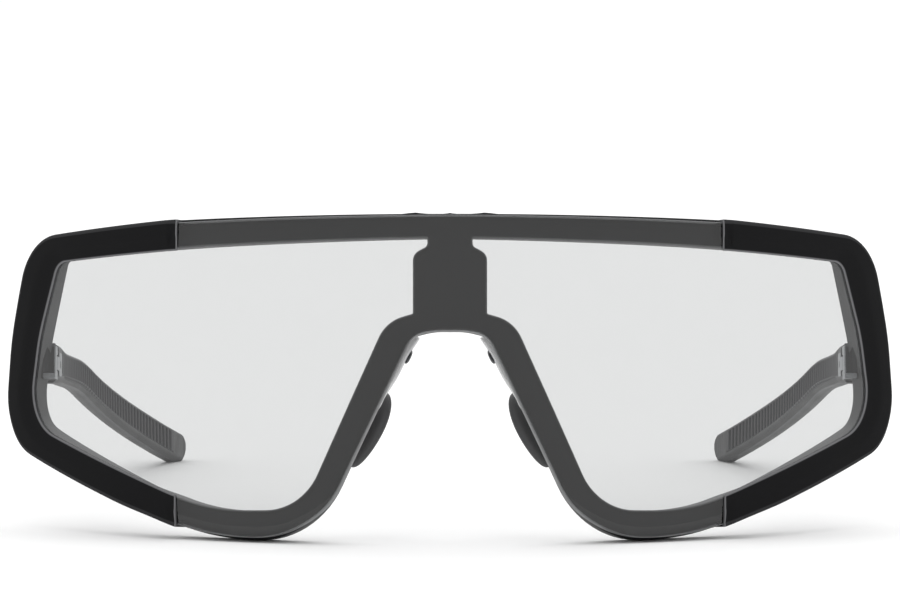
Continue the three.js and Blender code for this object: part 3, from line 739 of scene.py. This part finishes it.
def coverProfile():
    # a face that rises from a tight inner round in a soft S, rolls over a broader outer round, and
    # comes back along the inside of the wall
    face, skin = front["coverFace"], cover["skinBack"]
    wall, depth = front["coverWall"], front["coverDepth"]
    bevel, cut = cover["wallBevel"], cover["bevelCut"]
    ri, ro = cover["innerRound"], cover["outerRound"]
    low, high = face + cover["innerFall"], face + cover["outerFall"]
    rows = [(0, 0, skin, 0)]
    # the window's inner round carries the full painted highlight
    rows += [(0, i, low + d, 1) for i, d in quarter(ri, cover["innerRoundSteps"], True)]
    m = np.linspace(*cover["faceRows"])
    rise = smooth(m, 0, cover["riseShare"])
    height = low + (face - low) * rise + (high - face) * m ** cover["rollPower"]
    rows += list(zip(m, ri + (ro - ri) * m, height, 0 * m))
    # the outer round and the cut of the back bevel carry a weaker painted highlight
    glint = cover["outerHighlight"]
    rows += [(1, i, high + d, glint) for i, d in quarter(ro, cover["outerRoundSteps"], False)]
    rows += [(1, 0, w, 0) for w in (*cover["wallRows"], depth - bevel)]
    rows += [(1, cut, depth - cut, cover["bevelHighlight"]), (1, bevel, depth, 0)]
    rows += [(1, wall - bevel, depth, 0), (1, wall, depth - bevel, 0)]
    rows += [(1, wall, cover["wallInside"], 0), (1, wall, skin, 0)]
    return rows


def coverStations(path):
    # Positions along a path: set distances from the upper seam to the first arc, then every point,
    # then the same distances back to the lower seam, so that both paths get the same number
    arc, line = cover["arcSteps"], cover["lineSteps"]
    firstArc = arc + line
    lastArc = arc + (len(cover["outer"]) - 3) * (arc + line) + line
    first, last = crossings(path[:, 0], front["seam"])[[0, -1]]
    wanted = front["seam"] + np.array(cover["endSteps"])
    upperRun = np.arange(arc, firstArc + 1)
    lowerRun = np.arange(lastArc, math.ceil(last) + 1)[::-1]
    upper = np.interp(wanted, path[upperRun, 0], upperRun)
    lower = np.interp(wanted[::-1], path[lowerRun, 0], lowerRun)
    return np.concatenate([[first], upper, np.arange(firstArc, lastArc + 1), lower, [last]])


def makeCover():
    # the face and wall carried from the upper seam round the end to the lower seam, with the face
    # falling away to a rounded lip at both ends
    paths = []
    for corners, turn in ((cover["outer"], 1), (cover["window"], -1)):
        path, normal = roundedPath(corners, False, cover["arcSteps"], cover["lineSteps"])
        at = coverStations(path)
        paths += [resample(path, at), resample(normal, at) * turn]
    outer, outerNormal, inner, innerNormal = paths
    top, side, below = cover["proud"]
    low = -outer[:, 1]
    proud = top + side * smooth(low, *cover["sideFrom"]) - side * smooth(low, *cover["sideTo"])
    atFoot = smooth(low, *cover["belowFrom"]) * smooth(outer[:, 0], *cover["belowAcross"])
    outer = outer - outerNormal * (proud + below * atFoot)[:, None]
    points, edge = band(inner, innerNormal, outer, outerNormal, coverProfile())
    past = outer[:, 0] - front["seam"]
    atLip = np.clip(1 - past / cover["endRound"], 0, 1)
    lip = cover["endRound"] * (1 - np.sqrt(1 - atLip**2))
    slope = cover["endFall"] * (1 - smooth(past, 0, cover["endFallLength"]))
    depth = np.array(coverProfile())[:, 2]
    skin = cover["skinBack"] - cover["skinLeast"] - cover["endRound"] - depth
    onFace = depth < cover["skinBack"]
    room = np.clip(skin / cover["endFall"], 0, 1) * onFace
    drop = slope[:, None] * room[None] + lip[:, None] * onFace[None]
    angle = outer[:, 0] / front["wrapRadius"]
    inward = leanBack(np.stack([-np.sin(angle), np.cos(angle), 0 * angle], -1)) * mm
    points = points + inward[:, None] * drop[..., None]
    # the rounded lips at both seams carry the full painted highlight as well
    edge = np.maximum(edge, (atLip > 0)[:, None] * onFace[None])
    size = points.shape[:2]
    return points, gridFaces(*size) + capFaces(*size), edge


for side, mirror in sides:
    points, faces, edge = makeCover()
    piece = meshPiece(f"cover_{side}", points, faces, coverNylon, "front", edge, mirror=mirror)
    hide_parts(f"side_cover_{side}")
print("covers ready")

# The arm and the ribbed rubber let into its inner face; y runs back along the arm
temple = {
    "start": 38.35,
    "end": 153.4,
    "innerX": 64.0,
    "toeIn": 12.7,
    "toeInPower": 2.3,
    "toeInFrom": 40.5,
    "drop": 75.5,
    "dropBlend": 16.0,
    "dropSlope": 0.1425,
    "frontThickness": 3.9,
    "tipThickness": 3.2,
    "hingeThicker": 0.8,
    "thickerTo": (42, 56),
    "half": 2.5,
    "rearHalf": 2.9,
    "hingeHalf": 3.1,
    "waist": (43, 53),
    "tipRise": 0.3,
    "tipShare": 0.75,  # length of the rounded tip over the half height
    "tipRows": (0.08, 1, 12),
    "tipReach": 0.995,
    "shellX": 67.05,  # inner side of the shell beside the knuckles
    "shellEnd": 40.0,
    "pocketGap": 0.15,
    "lowerChamfer": (0.75, 1.15),  # across, up
    "chamferLimit": (0.4, 0.7),  # of the thickness and of the half height
    "round": 0.45,
    "roundLimit": 0.45,  # of the half height and of the thickness
    "startRound": 0.25,
    "leastRoom": 0.3,
    "leastLand": 0.05,
    "belly": 1.1,
    "bellyCrown": 0.06,
    "startRows": (0, 0.08, 0.25),
    "runs": [(0.6, 4), (0.7, 10), (1, 110), (0.5, 8)],  # gap at the start, rows
    "step": 1e-3,  # two rows this far apart make a sharp step
}
grip = {
    "start": 46.2,
    "end": 145.8,
    "half": 2.05,
    "topMargin": 0.3,
    "depth": 0.95,
    "proud": 0.05,
    "ribPitch": 2.2,
    "ribHeight": 0.5,
    "valley": 0.15,  # moves the wave down, so that the grooves are wider than the ribs
    "flatten": 2.2,
    "lean": 0.10,  # how far the ribs lean back, along the arm per height
    "leastRib": 0.25,
    "growOver": (2, 38),
    "smoothEnd": 3.0,
    "rearFade": (1.6, 0.8),
    "edgeFade": (0.86, 0.99),
    "edgeDrop": 0.12,
    "edgeDropFrom": 0.9,
    # how sharply the painted highlight gathers on the rib tops
    "highlightPower": 1.5,
    "stations": 720,
    "levels": [-1, -0.97, -0.9, -0.75, -0.5, -0.25, 0, 0.25, 0.5, 0.75, 0.9, 0.97, 1],
}


def templeInner(y):
    # straight beside the hinge, then bent inwards by a power of the share of the way to the tip
    share = np.maximum(0, y - temple["toeInFrom"]) / (temple["end"] - temple["toeInFrom"])
    return temple["innerX"] - temple["toeIn"] * share ** temple["toeInPower"]


def templeHalf(y):
    # half the height: it narrows behind the hinge and grows again along the drop
    waist = (temple["half"] - temple["hingeHalf"]) * smooth(y, *temple["waist"])
    rear = smooth(y, temple["drop"], temple["end"] - temple["dropBlend"])
    return temple["hingeHalf"] + waist + (temple["rearHalf"] - temple["half"]) * rear


def templeTop(y):
    # level, then a parabola, then a straight drop; the arm's growth towards the rear goes on top
    blend = temple["dropBlend"]
    into = np.clip(y - temple["drop"] + blend / 2, 0, blend)
    past = np.maximum(0, y - temple["drop"] - blend / 2)
    line = front["hinge"][2] - temple["dropSlope"] * (into**2 / (2 * blend) + past)
    growth = np.where(y > temple["drop"], templeHalf(y) - temple["half"], 0)
    return line + templeHalf(y) + growth


def templeThickness(y):
    # a straight taper to the tip, and a smooth thickening beside the hinge
    share = (y - temple["start"]) / (temple["end"] - temple["start"])
    taper = (temple["tipThickness"] - temple["frontThickness"]) * share
    thicker = temple["hingeThicker"] * (1 - smooth(y, *temple["thickerTo"]))
    return temple["frontThickness"] + taper + thicker


def templeRows(pocketStart, pocketEnd, tipStart, tipRound):
    # Places along the arm: even runs between the shell's end, the pocket's ends and the tip, with two
    # rows at each step, and the rows of the tip closing up as a sine
    marks = [temple["start"], temple["shellEnd"], pocketStart, pocketEnd, tipStart]
    rows = [temple["start"] + np.array(temple["startRows"])]
    for low, high, (gap, count) in zip(marks, marks[1:], temple["runs"]):
        rows += [np.linspace(low + gap, high, count), [high + temple["step"]]]
    closing = np.sin(np.linspace(*temple["tipRows"]) * math.pi / 2)
    rows[-1] = tipStart + tipRound * closing * temple["tipReach"]
    return np.concatenate(rows)


def alongArm(x, y, z):
    # rings of (x, z) at each y, set down in the world
    return toWorld(np.stack([x, np.broadcast_to(y[:, None], x.shape), z], -1))


def makeTemple():
    # Sections along the arm: a rounded outer side, a chamfered lower inner edge, and a pocket in the
    # inner face for the grip. The tip and the front edge shrink along a circle
    gap, startRound = temple["pocketGap"], temple["startRound"]
    tipRound = temple["tipShare"] * temple["rearHalf"]
    tipStart = temple["end"] - tipRound
    pocketStart, pocketEnd = grip["start"] - gap, grip["end"] + gap
    y = templeRows(pocketStart, pocketEnd, tipStart, tipRound)
    full = templeHalf(y)
    intoTip = np.clip(y - tipStart, 0, None) / tipRound
    shrink = tipRound * (1 - np.sqrt(1 - intoTip**2))
    intoStart = np.clip(1 - (y - temple["start"]) / startRound, 0, 1)
    pull = startRound * (1 - np.sqrt(1 - intoStart**2))
    half = full - shrink - pull
    middle = templeTop(y) - full + temple["tipRise"] * shrink
    outer = templeInner(y) + templeThickness(y) - pull
    inner = np.where(y <= temple["shellEnd"], temple["shellX"], templeInner(y))
    room = np.maximum(outer - inner, temple["leastRoom"])
    r = np.minimum(temple["round"], np.minimum(half, room) * temple["roundLimit"])
    top, bottom = middle + half, middle - half
    across, up = temple["lowerChamfer"]
    across = np.minimum(across, room * temple["chamferLimit"][0])
    up = np.minimum(up, half * temple["chamferLimit"][1])
    inPocket = (y > pocketStart) & (y < pocketEnd + temple["step"] / 2)
    pocket = np.where(inPocket, grip["depth"] + gap, 0.0)
    gripTop = templeTop(y) - grip["topMargin"] + gap
    gripBottom = gripTop - 2 * (grip["half"] + gap)
    gripTop = np.minimum(gripTop, top - r * 1.05)
    gripBottom = np.maximum(gripBottom, bottom + up + temple["leastLand"])
    gripBottom = np.minimum(gripBottom, gripTop - temple["leastLand"])
    cut = r * (1 - math.sqrt(0.5))  # the middle of a quarter round
    belly, crown = np.minimum(temple["belly"], half * 0.5), temple["bellyCrown"]
    section = [  # x, z and painted highlight share of each point round the section
        (inner + r, top, 0), (inner + cut, top - cut, 1), (inner, top - r, 1),
        (inner, gripTop, 0.4), (inner + pocket, gripTop, 0), (inner + pocket, gripBottom, 0),
        (inner, gripBottom, 0.4), (inner, bottom + up, 0.3),
        (inner + across * 0.33, bottom + up * 0.55, 0), (inner + across, bottom + 0.12 * up, 0),
        (inner + across + 0.15 * r, bottom, 0.5), ((inner + outer) / 2, bottom, 0),
        (outer - belly * 0.8, bottom, 0.3), (outer - belly * 0.3, bottom + belly * 0.3, 0),
        (outer - crown, bottom + belly, 0), (outer, middle, 0), (outer - crown, top - belly, 0),
        (outer - belly * 0.3, top - belly * 0.3, 0), (outer - belly * 0.8, top, 0.3),
        ((inner + outer) / 2, top, 0),
    ]
    x = np.stack([point[0] for point in section], -1)
    z = np.stack([point[1] for point in section], -1)
    edge = np.broadcast_to([point[2] for point in section], x.shape)
    return alongArm(x, y, z), gridFaces(*x.shape) + capFaces(*x.shape), edge


def makeGrip():
    # A bar along the pocket whose face carries upright ribs: the rib height is a flattened cosine of
    # the place along the arm, and it fades at the smooth front end and at the bar's edges
    start, end = grip["start"], grip["end"]
    y = np.linspace(start, end, grip["stations"])
    level = np.array(grip["levels"])
    middle = templeTop(y) - grip["topMargin"] - grip["half"]
    z = middle[:, None] + grip["half"] * level[None]
    phase = (y[:, None] + grip["lean"] * grip["half"] * level[None] - start) / grip["ribPitch"]
    wave = np.cos(2 * math.pi * phase) - grip["valley"]
    ribs = 0.5 + 0.5 * np.tanh(grip["flatten"] * wave) / math.tanh(grip["flatten"])
    growFrom, growTo = grip["growOver"]
    growing = smooth(y, start + growFrom, start + growTo)
    growing = grip["leastRib"] + (1 - grip["leastRib"]) * growing
    fadeFrom, fadeTo = grip["rearFade"]
    atEnds = smooth(y, start, start + grip["smoothEnd"])
    atEnds *= 1 - smooth(y, end - fadeFrom, end - fadeTo)
    fade = 1 - smooth(np.abs(level), *grip["edgeFade"])
    carved = grip["ribHeight"] * (1 - ribs) * (growing * atEnds)[:, None] * fade[None]
    drop = grip["edgeDrop"] * smooth(np.abs(level), grip["edgeDropFrom"], 1)
    face = templeInner(y)[:, None] - grip["proud"] + carved + drop[None]
    back = (templeInner(y) + grip["depth"])[:, None]
    x = np.concatenate([face, back, back], -1)
    z = np.concatenate([z, z[:, -1:], z[:, :1]], -1)
    # rib tops painted paler and the grooves left dark: a painted highlight, and painted shade in the
    # grooves
    highlighted = (1 - carved / grip["ribHeight"]) ** grip["highlightPower"]
    edge = np.concatenate([highlighted, 0 * back, 0 * back], -1)
    return alongArm(x, y, z), gridFaces(*x.shape) + capFaces(*x.shape), edge


for side, mirror in sides:
    body = f"temple_{side}"
    points, faces, edge = makeTemple()
    arm = meshPiece(f"arm_{side}", points, faces, templeNylon, body, edge, 40, mirror)
    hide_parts(f"temple_{side}")
    points, faces, edge = makeGrip()
    ribbed = meshPiece(f"grip_{side}", points, faces, gripRubber, body, edge, 50, mirror)
    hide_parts(f"temple_grip_{side}")
print("temples ready")

# The lug that grows out of the rim, its knuckles, and the thin metal plate inside it
hinge = {
    "half": 2.7,
    "slotHalf": 1.25,  # half the slot for the temple's tang
    "knuckle": 1.5,
    "bore": 0.72,
    "chamfer": 0.12,
    "sides": 40,
    "root": [[65.2, 34.3], [65.9, 34.3], [66.9, 36.2], [66.9, 36.45], [64.12, 36.45], [64.12, 36]],
    "rootBevel": 0.15,
    "arm": [[66.9, 36.05], [66.9, 37.2], [66.6, 37.2], [65.4, 37.3], [64.22, 37.2], [64.12, 36.05]],
    "armBevel": 0.12,
    "liner": [  # lowest and highest x, y and z, z from the hinge's middle, and the bevel
        [63.88, 64.11, 34.4, 36.35, -2.7, 2.7, 0.05],
        [63.88, 64.11, 36.25, 37.8, -2.7, -1.3, 0.05],
        [63.88, 64.11, 36.25, 37.8, 1.3, 2.7, 0.05],
        [63.88, 65.8, 33.8, 34.5, -2.7, -1.8, 0.12],
    ],
    "sharpestMitre": 0.4,
}


def slab(outline, low, high, bevel):
    # an upright plate: its outline, moved in along its mitres by a quarter round at bottom and top
    path = np.array(outline, float)
    following = np.roll(path, -1, 0)
    bisector = unit(path - np.roll(path, 1, 0)) + unit(following - path)
    area = 0.5 * np.sum(path[:, 0] * following[:, 1] - following[:, 0] * path[:, 1])
    mitre = np.stack([-bisector[:, 1], bisector[:, 0]], -1) * math.copysign(1, area)
    mitre /= np.maximum(hinge["sharpestMitre"], 0.5 * np.sum(mitre**2, 1))[:, None]
    rounds = quarter(bevel, 3, False)
    levels = [(i, low + d) for i, d in rounds] + [(i, high - d) for i, d in reversed(rounds)]
    return np.array([np.column_stack([path + mitre * i, np.full(len(path), z)]) for i, z in levels])


def turned(profile, centre, axisX, axisY, axisZ, count):
    # a profile of (radius, height) carried round an axis
    angle = np.linspace(0, 2 * math.pi, count, endpoint=False)
    radius, height = np.array(profile, float).T
    ring = np.outer(np.cos(angle), axisX) + np.outer(np.sin(angle), axisY)
    out, up = radius[:, None, None] * ring[None], height[:, None, None] * np.asarray(axisZ)
    return np.asarray(centre) + out + up


def joinParts(parts):
    # several closed shells in one set of arrays; a shell without closed rows gets an end face each way
    points, faces, start = [], [], 0
    for grid, closedRows in parts:
        rows, columns = grid.shape[:2]
        points.append(grid.reshape(-1, 3))
        faces += gridFaces(rows, columns, closedRows, True, start)
        if not closedRows:
            faces += [tuple(k + start for k in cap) for cap in capFaces(rows, columns)]
        start += rows * columns
    return toWorld(np.concatenate(points)), faces


def knuckleRing(low, high):
    # a knuckle with a bore: outer wall, rounded rims and inner wall as one closed profile
    r, b, c = hinge["knuckle"], hinge["bore"], hinge["chamfer"]
    profile = [
        (b, low), (r - c, low), (r - c * 0.3, low + c * 0.3), (r, low + c),
        (r, high - c), (r - c * 0.3, high - c * 0.3), (r - c, high), (b, high),
    ]
    return turned(profile, front["hinge"], (1, 0, 0), (0, 1, 0), (0, 0, 1), hinge["sides"])


def makeHingeLug():
    # the plate that grows out of the rim, split by a slot for the temple's tang, and two knuckles
    z, half, slot = front["hinge"][2], hinge["half"], hinge["slotHalf"]
    return [
        (slab(hinge["root"], z - half, z + half, hinge["rootBevel"]), False),
        (slab(hinge["arm"], z - half, z - slot, hinge["armBevel"]), False),
        (slab(hinge["arm"], z + slot, z + half, hinge["armBevel"]), False),
        (knuckleRing(-half, -slot), True),
        (knuckleRing(slot, half), True),
    ]


def makeHingeLiner():
    # thin pressed plates on the inner side of the lug, with a ledge along the lower edge
    z = front["hinge"][2]
    return [
        (slab([[x0, y0], [x1, y0], [x1, y1], [x0, y1]], z + z0, z + z1, bevel), False)
        for x0, x1, y0, y1, z0, z1, bevel in hinge["liner"]
    ]


for side, mirror in sides:
    points, faces = joinParts(makeHingeLug())
    lug = meshPiece(f"hingeLug_{side}", points, faces, chassisNylon, "front", mirror=mirror)
    points, faces = joinParts(makeHingeLiner())
    liner = meshPiece(f"hingeLiner_{side}", points, faces, hingeSteel, "front", mirror=mirror)
print("hinges ready")

# The nose pads, and the light leaves that carry them
nose = {
    "flank": math.radians(25),
    "splay": math.radians(28),
    "pad": np.array([12.8, 15.7, -32.7]),
    "padHalf": (3.7, 6.5, 1.7),
    "padTaper": 0.2,
    "padBack": -1.35,
    "padPower": 2.4,  # above 2, so that the cushion is fuller than an ellipsoid
    "padPole": 0.9995,
    "padSheenFall": 1.4,
    "padGrid": (36, 56),
    "screw": np.array([6.95, 8.6, -21.5]),
    "screwProfile": [  # a low domed head with a round recess, over a plain shank
        (0.02, -1.7), (0.55, -1.7), (0.6, -1.6), (0.6, 0.5), (1.1, 0.5), (1.16, 0.56), (1.16, 0.64),
        (1.05, 0.78), (0.8, 0.9), (0.5, 0.95), (0.44, 0.9), (0.42, 0.6), (0.02, 0.58),
    ],
    "screwSides": 36,
    "leaf": [(5.15, 8.6, -18.6), (7.0, 8.6, -21.5), (9, 8.7, -25.3), (11.8, 9.3, -28.9)],
    "leafOut": (-3.9, -2.4),  # its last two spots, on the pad's axis; the last is the pivot
    "leafRows": 70,
    "leafSides": 20,
    "leafWidths": (1.9, 0.5),
    "leafNarrows": (0.45, 0.78),
    "leafEnd": 0.05,  # the share of the leaf that its rounded end takes
    "leafEndCut": 0.6,
    "leafThickness": 0.55,
    "eyelet": [(0.5, -0.55), (0.82, -0.55), (0.9, -0.47), (0.9, 0.47), (0.82, 0.55), (0.5, 0.55)],
    "eyeletSides": 28,
    "boss": (2.45, 2.1, 1.1),  # half sizes
    "bossShift": np.array([0, -0.55, 0.2]),
    "bossGap": 0.15,
    "bossBevel": 0.3,
}
down = np.array([math.sin(nose["flank"]), 0, -math.cos(nose["flank"])])
inward = np.array([-math.cos(nose["flank"]), 0, -math.sin(nose["flank"])])
archSide = np.cross(down, inward)
padOut = inward * math.cos(nose["splay"]) + np.array([0, math.sin(nose["splay"]), 0])
padAcross = np.cross(down, padOut)


def onPadAxis(out):
    # a point this far out from the middle of the pad
    return nose["pad"] + padOut * out


def catmullRom(points, count):
    # a smooth curve through the points: each piece is the cubic that leaves and arrives along the
    # line between its neighbours
    points = np.array(points, float)
    ends = np.concatenate([[2 * points[0] - points[1]], points, [2 * points[-1] - points[-2]]])
    t = np.linspace(0, len(points) - 1, count)
    i = np.minimum(t.astype(int), len(points) - 2)
    s = (t - i)[:, None]
    a, b, c, d = ends[i], ends[i + 1], ends[i + 2], ends[i + 3]
    square, cube = 2 * a - 5 * b + 4 * c - d, 3 * b - a - 3 * c + d
    return 0.5 * (2 * b + (c - a) * s + square * s**2 + cube * s**3)


def makeNoseArm():
    # A flat leaf along the arch that narrows and turns as it swings back to the pad's eyelet: rings
    # of a rounded rectangle, whose sides are the square roots of a cosine and a sine
    count = nose["leafRows"]
    spots = nose["leaf"] + [onPadAxis(out) for out in nose["leafOut"]]
    path = catmullRom(spots, count)
    along = unit(np.gradient(path, axis=0))
    share = np.linspace(0, 1, count)[:, None]
    narrowing = smooth(share, *nose["leafNarrows"])
    wide, narrow = nose["leafWidths"]
    rounding = (1 - share / nose["leafEnd"]).clip(0) ** 2 * nose["leafEndCut"]
    halfDepth = (wide + (narrow - wide) * narrowing) * np.sqrt(1 - rounding)
    depthWay = np.array([0, 1, 0]) * (1 - narrowing) - padAcross * narrowing
    thin = unit(np.cross(along, depthWay))
    deep = unit(np.cross(thin, along))
    angle = np.linspace(0, 2 * math.pi, nose["leafSides"], endpoint=False)
    cos, sin = np.cos(angle), np.sin(angle)
    a = np.sign(cos) * np.abs(cos) ** 0.5 * nose["leafThickness"]
    b = np.sign(sin) * np.abs(sin) ** 0.5
    rings = path[:, None] + thin[:, None] * a[None, :, None]
    rings = rings + deep[:, None] * (halfDepth * b[None])[..., None]
    pivot = onPadAxis(nose["leafOut"][-1])
    eyelet = turned(nose["eyelet"], pivot, down, padOut, padAcross, nose["eyeletSides"])
    return [(rings, False), (eyelet, True)]


def makeNoseLug():
    # the boss behind the leaf that its screw goes into: a slab laid along the arch
    width, height, depth = nose["boss"]
    behind = nose["leafThickness"] + nose["bossGap"] + depth
    at = nose["screw"] + nose["bossShift"] - inward * behind
    corners = [[-width, -height], [width, -height], [width, height], [-width, height]]
    a, b, c = np.moveaxis(slab(corners, -depth, depth, nose["bossBevel"])[..., None], -2, 0)
    return [(at + a * archSide + b * down + c * inward, False)]


def makeArmScrew():
    # its profile turned about the screw's own axis
    profile, count = nose["screwProfile"], nose["screwSides"]
    return [(turned(profile, nose["screw"], archSide, down, inward, count), False)]


def makePad():
    # An egg-shaped cushion: rings of a tapered ellipse, crowned in front and flat behind
    rows, columns = nose["padGrid"]
    halfX, halfY, halfZ = nose["padHalf"]
    level = (np.sin(np.linspace(-1, 1, rows) * math.pi / 2) * nose["padPole"])[:, None]
    size = (1 - np.abs(level) ** nose["padPower"]) ** 0.5
    angle = np.linspace(0, 2 * math.pi, columns, endpoint=False)[None]
    x = np.cos(angle) * (1 - nose["padTaper"] * np.sin(angle)) * halfX * size
    y = np.sin(angle) * halfY * size
    z = np.maximum(nose["padBack"], level * halfZ) + 0 * x
    points = x[..., None] * padAcross + y[..., None] * down + z[..., None] * padOut
    # a painted sheen: paler round the pad's widest ring, fading towards front and back
    edge = np.clip(1 - np.abs(level) * nose["padSheenFall"], 0, 1) + 0 * x
    return toWorld(nose["pad"] + points), gridFaces(rows, columns) + capFaces(rows, columns), edge


for side, mirror in sides:
    points, faces = joinParts(makeNoseArm())
    leaf = meshPiece(f"noseArm_{side}", points, faces, armNylon, "front", mirror=mirror)
    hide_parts(f"nose_arm_{side}")
    points, faces = joinParts(makeArmScrew())
    screw = meshPiece(f"armScrew_{side}", points, faces, screwSteel, "front", sharp=30, mirror=mirror)
    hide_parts(f"nose_arm_screw_{side}")
    points, faces = joinParts(makeNoseLug())
    boss = meshPiece(f"noseLug_{side}", points, faces, chassisNylon, "front", mirror=mirror)
    points, faces, edge = makePad()
    body = f"nose_pad_{side}"
    pad = meshPiece(f"nosePad_{side}", points, faces, padRubber, body, edge, 60, mirror)
    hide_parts(f"nose_pad_{side}")
print("nose pieces ready")

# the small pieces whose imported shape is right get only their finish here
keptFinishes = {
    "cover_screw_upper": screwSteel,
    "cover_screw_lower": screwSteel,
    "hinge_screw": screwSteel,
    "tang_rivet": screwSteel,
    "nose_pad_pin": screwSteel,
    "hinge_tang": hingeSteel,
    "nose_pad_core": armNylon,
}
for base, finish in keptFinishes.items():
    for side, _ in sides:
        for slot in frame["nodes"][f"{base}_{side}"].material_slots:
            slot.material = finish
print("small pieces finished")

studio = {
    "floorHalf": 30.0,
    "floorLines": 9,
    "floorGap": 2e-5,  # under the object
    "floorTone": "#f8f8f8",
    "floorDarker": 0.995,
    "floorMottle": 3.0,
    "floorRoughness": 0.9,
    "horizon": 1.02,
    "horizonRise": 0.05,
    "zenith": 0.95,
    "keyStrength": 1.2,
    "keySpread": math.radians(65),  # a very broad key, so its shadows stay soft
    "keyTilt": math.radians(-32),  # from above and behind
    "standOff": 0.5573,  # camera to the front of the object
    "eyeHeight": 0.06056,
    "pitch": math.radians(2.377),
    "lensLength": 146.4,
    "sensorWidth": 36.0,
    "clip": (0.01, 200),
}


def makeFloor():
    # a flat sheet with a gentle unevenness in its tone
    material = newMaterial("studioPaperMatte")
    place = addNode(material, "ShaderNodeTexCoord").outputs["Object"]
    mottle = addNode(
        material,
        "ShaderNodeTexNoise",
        {"Vector": place, "Scale": studio["floorMottle"], "Detail": 1.0},
    )
    base = toLinear(studio["floorTone"])
    darker = tuple(part * studio["floorDarker"] for part in base[:3]) + (1,)
    tone = addNode(
        material,
        "ShaderNodeMix",
        {6: base, 7: darker, 0: mottle.outputs["Fac"]},
        data_type="RGBA",
    )
    shader = addNode(
        material,
        "ShaderNodeBsdfPrincipled",
        {
            "Base Color": tone.outputs[2],
            "Roughness": studio["floorRoughness"],
            "Specular IOR Level": 0.0,
        },
    )
    finishMaterial(material, shader)
    count = studio["floorLines"]
    line = np.linspace(-studio["floorHalf"], studio["floorHalf"], count)
    x, y = np.meshgrid(line, line, indexing="ij")
    points = np.stack([x, y, 0 * x - studio["floorGap"]], -1).reshape(-1, 3)
    mesh = bpy.data.meshes.new("studioFloor")
    mesh.from_pydata(points, [], gridFaces(count, count, False, False))
    mesh.materials.append(material)
    floor = bpy.data.objects.new("studioFloor", mesh)
    bpy.context.scene.collection.objects.link(floor)


def makeSky():
    # a white tent round the table: its strength changes evenly with height, from horizon to zenith
    world = bpy.data.worlds.new("whiteTent")
    bpy.context.scene.world = world
    world.use_nodes = True
    world.node_tree.nodes.clear()
    place = addNode(world, "ShaderNodeTexCoord").outputs["Generated"]
    split = addNode(world, "ShaderNodeSeparateXYZ", {0: place})
    strength = addNode(
        world,
        "ShaderNodeMapRange",
        {
            "Value": split.outputs[2],
            "From Min": studio["horizonRise"],
            "To Min": studio["horizon"],
            "To Max": studio["zenith"],
        },
    )
    glow = addNode(
        world,
        "ShaderNodeBackground",
        {"Color": (1, 1, 1, 1), "Strength": strength.outputs[0]},
    )
    addNode(world, "ShaderNodeOutputWorld", {"Surface": glow.outputs[0]})


def makeKey():
    # a broad soft key from above and behind, which throws the shadows a little towards the camera
    light = bpy.data.lights.new("softKey", "SUN")
    light.angle = studio["keySpread"]
    light.energy = studio["keyStrength"]
    key = bpy.data.objects.new("softKey", light)
    bpy.context.scene.collection.objects.link(key)
    key.rotation_euler = (studio["keyTilt"], 0, 0)


def makeCamera():
    # a little above the object and tipped down slightly, a set distance in front of it
    camera = bpy.data.objects.new("camera", bpy.data.cameras.new("camera"))
    bpy.context.scene.collection.objects.link(camera)
    camera.location = (0.0, cadBox[0][1] - studio["standOff"], studio["eyeHeight"])
    camera.rotation_euler = (math.pi / 2 - studio["pitch"], 0, 0)
    camera.data.sensor_width = studio["sensorWidth"]
    camera.data.lens = studio["lensLength"]
    camera.data.clip_start, camera.data.clip_end = studio["clip"]
    bpy.context.scene.camera = camera


makeFloor()
makeSky()
makeKey()
makeCamera()
bpy.context.scene.view_settings.view_transform = "Standard"
print("studio ready")
